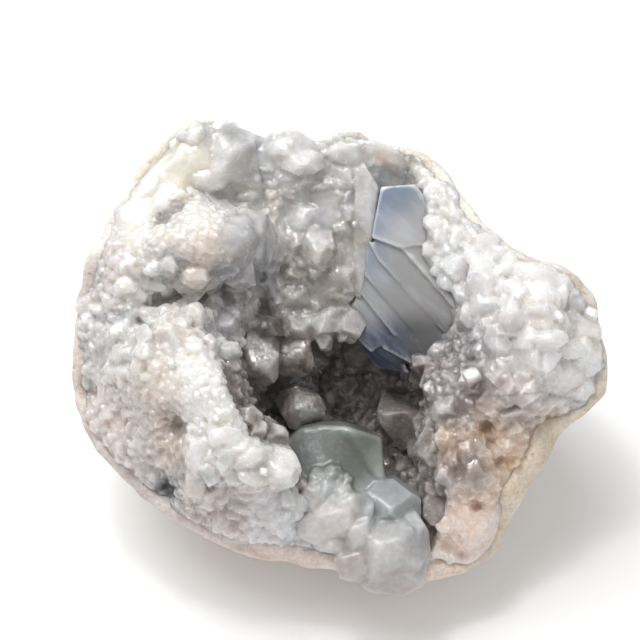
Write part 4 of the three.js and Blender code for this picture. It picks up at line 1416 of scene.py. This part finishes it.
def pale_material():
    m = Nodes("pale_celestite")
    veils = m.mapped(m.noise(4, 4), (0.42, 0.65), (0, 0.2))
    flaws = m.mapped(m.noise(1.2, 3), (0.3, 0.7), (0.86, 1.06))
    # Painted highlight: the blocks' ridges, held in the grain attribute, are lightened towards a
    # pale grey-green.
    edges = m.mapped(m.grain(), (0.01, 0.05), (0, 0.35))
    veiled = m.mixed(veils, m.tint(), m.multiplied(m.tint(), (1.6, 1.6, 1.6)))
    colour = m.multiplied(m.mixed(edges, veiled, (0.8, 0.84, 0.82)), flaws)
    relief = m.facets(2.6, 0.1, m.bump(m.noise(1.2, 4), 0.12))
    return m.finish(
        Base_Color=colour, Roughness=0.3, Normal=relief, Subsurface_Weight=1.0,
        Subsurface_Radius=(1, 1.03, 1.02), Subsurface_Scale=0.004, IOR=1.62,
        Transmission_Weight=0.3,
    )


# ---- The pieces ----

def rind_colour(points):
    """The limestone's colour, by direction and by how far behind the face it is."""
    x, y, z = points.T
    degrees, colours = zip(*RIND_COLOURS)
    colours = np.array(colours)
    near = np.column_stack([
        np.interp(directions(x, y), degrees, colours[:, i], period=360) for i in range(3)
    ])
    behind = smooth_step(*BACK_DEPTHS, z)[:, None]
    return near * (1 - behind) + np.array(BACK_COLOUR) * behind


def make_limestone():
    points, triangles = limestone()
    add_piece(
        "limestone_nodule", points, triangles, limestone_material(), "rock_shell",
        rind_colour(points),
    )


def grain_at(places):
    """How coarse the surface is: 1 on the druse, less on the smooth lumps."""
    grain = np.ones(len(places))
    for mass in ALL_MASSES:
        if mass.kind != "block":
            share = np.exp(-MASS_FADE * reach_from(mass, places[:, 0], places[:, 1]) ** 2)
            grain = np.minimum(grain, 1 - SMOOTHING * share)
    return grain


def grown_druse():
    """The bed, its crystals, the masses and the band, joined into one level set."""
    bed = crust_bed()
    places, ways, sizes = druse_feet(bed)
    count = len(places)
    stretch = np.column_stack([rng.uniform(*span, count) for span in STRETCH])
    mass_places, mass_ways, mass_turns, mass_scales, mass_kinds = mass_feet()
    spins = np.concatenate((rng.uniform(0, 2 * math.pi, count), mass_turns))
    crystals = joined_crystals(
        crystal_forms(), np.array(["block"] * count + mass_kinds),
        np.vstack((places, mass_places)), turned_to(np.vstack((ways, mass_ways)), spins),
        np.vstack((sizes[:, None] * stretch, mass_scales)),
    )
    return grown_together([bed, crystals, *blade_bodies(BAND, BAND_BEVEL)], DRUSE_CELL)


def make_crust(large):
    """The druse in sectors, without what would lie hidden in the large crystals."""
    whole = grown_druse()
    material = druse_material()
    for name, outline in SECTORS.items():
        points, triangles = sector_of(whole, large, outline)
        add_piece(
            name, points, triangles, material, "crystal_crust", colour_at(points),
            crease=DRUSE_CREASE, grain=grain_at(points),
        )


def grown_together(bodies, cell):
    """Closed bodies joined into one level set."""
    starts = np.cumsum([0] + [len(points) for points, _ in bodies])
    points = np.vstack([points for points, _ in bodies])
    triangles = np.vstack([corners + start for (_, corners), start in zip(bodies, starts)])
    return vdb.FloatGrid.createLevelSetFromPolygons(
        points.astype(np.float32), triangles=triangles.astype(np.uint32),
        transform=vdb.createLinearTransform(cell), halfWidth=LEVEL_BAND,
    )


def sector_of(whole, large, outline):
    """The part of the grown crust inside an outline, the nodule's skin and the CAD's box."""
    first, last = np.array(DRUSE_SPAN) / DRUSE_CELL
    across = np.array(outline) / DRUSE_CELL
    first[:2] = np.maximum(first[:2], across.min(0) - SECTOR_MARGIN)
    last[:2] = np.minimum(last[:2], across.max(0) + SECTOR_MARGIN)
    first, last = first.astype(int), last.astype(int)
    distance = np.empty(last - first, np.float32)
    whole.copyToArray(distance, ijk=first.tolist())
    taken = np.empty_like(distance)
    large.copyToArray(taken, ijk=first.tolist())
    distance = np.maximum(distance, -(taken + LARGE_OVERLAP))
    axes = [np.arange(a, b, dtype=np.float32) * DRUSE_CELL for a, b in zip(first, last)]
    x, y, z = np.meshgrid(*axes, indexing="ij", sparse=True)
    parting = polygon_distance(*np.broadcast_arrays(x[..., 0], y[..., 0]), outline)
    parting = (parting - SECTOR_OVERLAP).astype(np.float32)
    distance = np.maximum(distance, parting[:, :, None])
    skin = (nodule_norm(x, y, z, -SKIN_ROOM) - 1) * SKIN_SCALE
    distance = np.maximum(distance, np.maximum(skin, box_term(x, y, z) + BOX_MARGIN))
    return surface(distance, axes, DRUSE_CELL, DRUSE_MERGING)


def lump_bodies(lumps):
    """Stout crystals with rounded edges, as closed bodies."""
    for (x, y), (width, height), turn, top in lumps:
        points, triangles = convex_mesh(crystal_corners(1), LUMP_BEVEL, BEVEL_STEPS)
        deep = 0.5 * (width + height)
        wide, high, low = (points * (width, height, deep)).T
        cosine, sine = math.cos(math.radians(turn)), math.sin(math.radians(turn))
        placed = (wide * cosine - high * sine + x, wide * sine + high * cosine + y,
                  low - points[:, 2].max() * deep + top)
        yield np.column_stack(placed), triangles


def ridges(points, triangles):
    """How far each point stands out of its neighbours, in millimetres, evened out."""
    starts, ends = triangles.ravel(), np.roll(triangles, -1, axis=1).ravel()
    count = np.bincount(starts, minlength=len(points))
    middle = np.column_stack([
        np.bincount(starts, weights=points[ends, i], minlength=len(points)) for i in range(3)
    ]) / count[:, None]
    rise = np.einsum("ij,ij->i", points - middle, point_normals(points, triangles))
    for _ in range(2):
        rise = np.bincount(starts, weights=rise[ends], minlength=len(points)) / count
    return rise


def add_large(name, bodies, material, node, spots, crease):
    points, triangles = closed_surface(grown_together(bodies, LARGE_CELL))
    x, y, _ = points.T
    # The grain attribute of the large crystals holds their ridges, which their materials lighten as
    # painted highlight.
    add_piece(
        name, points, triangles, material, node, blended(x, y, spots),
        crease=crease, grain=ridges(points, triangles),
    )


def make_large_crystals():
    """The blue and the pale crystals; gives back the space that they take from the crust."""
    blue = list(blade_bodies(BLUE_PLANKS, BLUE_BEVEL))
    pale = [*blade_bodies(FRONT_BLOCKS, BLOCK_BEVEL), *lump_bodies(FRONT_LUMPS)]
    add_large(
        "blue_blades", blue, blue_material(), "blue_crystal", BLUE_COLOURS,
        BLUE_CREASE,
    )
    add_large(
        "pale_blocks", pale, pale_material(), "front_crystals",
        FRONT_COLOURS, PALE_CREASE,
    )
    return grown_together(blue + pale, DRUSE_CELL)


# ---- The stage ----

def add_aimed(name, data, place, way):
    """A camera or a light at a place, pointing one way."""
    holder = bpy.data.objects.new(name, data)
    bpy.context.scene.collection.objects.link(holder)
    holder.location = place
    holder.rotation_euler = way.to_track_quat("-Z", "Y").to_euler()
    return holder


def make_camera():
    camera = bpy.data.cameras.new("camera")
    camera.lens = CAMERA_LENS
    aim = Vector(to_world([CAMERA_AIM])[0])
    ahead = Vector((0, -LEAN_COSINE, LEAN_SINE))
    place = aim + ahead * CAMERA_DISTANCE * 0.001
    bpy.context.scene.camera = add_aimed("camera", camera, place, -ahead)


def add_light(name, direction, distance, size, power):
    light = bpy.data.lights.new(name, "AREA")
    light.size = size
    light.energy = power
    centre = Vector(to_world([(0, 0, 0)])[0])
    place = Vector(to_world([unit(np.array(direction, float)) * distance])[0])
    add_aimed(name, light, place, centre - place)


def make_floor():
    floor_mesh = bpy.data.meshes.new("floor")
    corners = [(-1, -1), (1, -1), (1, 1), (-1, 1)]
    floor_mesh.from_pydata(
        [(FLOOR_REACH * x, FLOOR_REACH * y, 0) for x, y in corners], [], [(0, 1, 2, 3)],
    )
    floor = bpy.data.objects.new("floor", floor_mesh)
    bpy.context.scene.collection.objects.link(floor)
    paper = Nodes("paper")
    floor_mesh.materials.append(paper.finish(Base_Color=(0.96, 0.96, 0.96), Roughness=0.9))


def make_studio():
    world = bpy.data.worlds.new("studio")
    world.use_nodes = True
    studio = world.node_tree.nodes["Background"].inputs
    studio["Color"].default_value = (1, 1, 1, 1)
    studio["Strength"].default_value = STUDIO_LIGHT
    bpy.context.scene.world = world
    bpy.context.scene.view_settings.view_transform = "Standard"
    for name, facts in LIGHTS.items():
        add_light(name, *facts)


make_camera()
make_floor()
make_studio()
make_limestone()
make_crust(make_large_crystals())
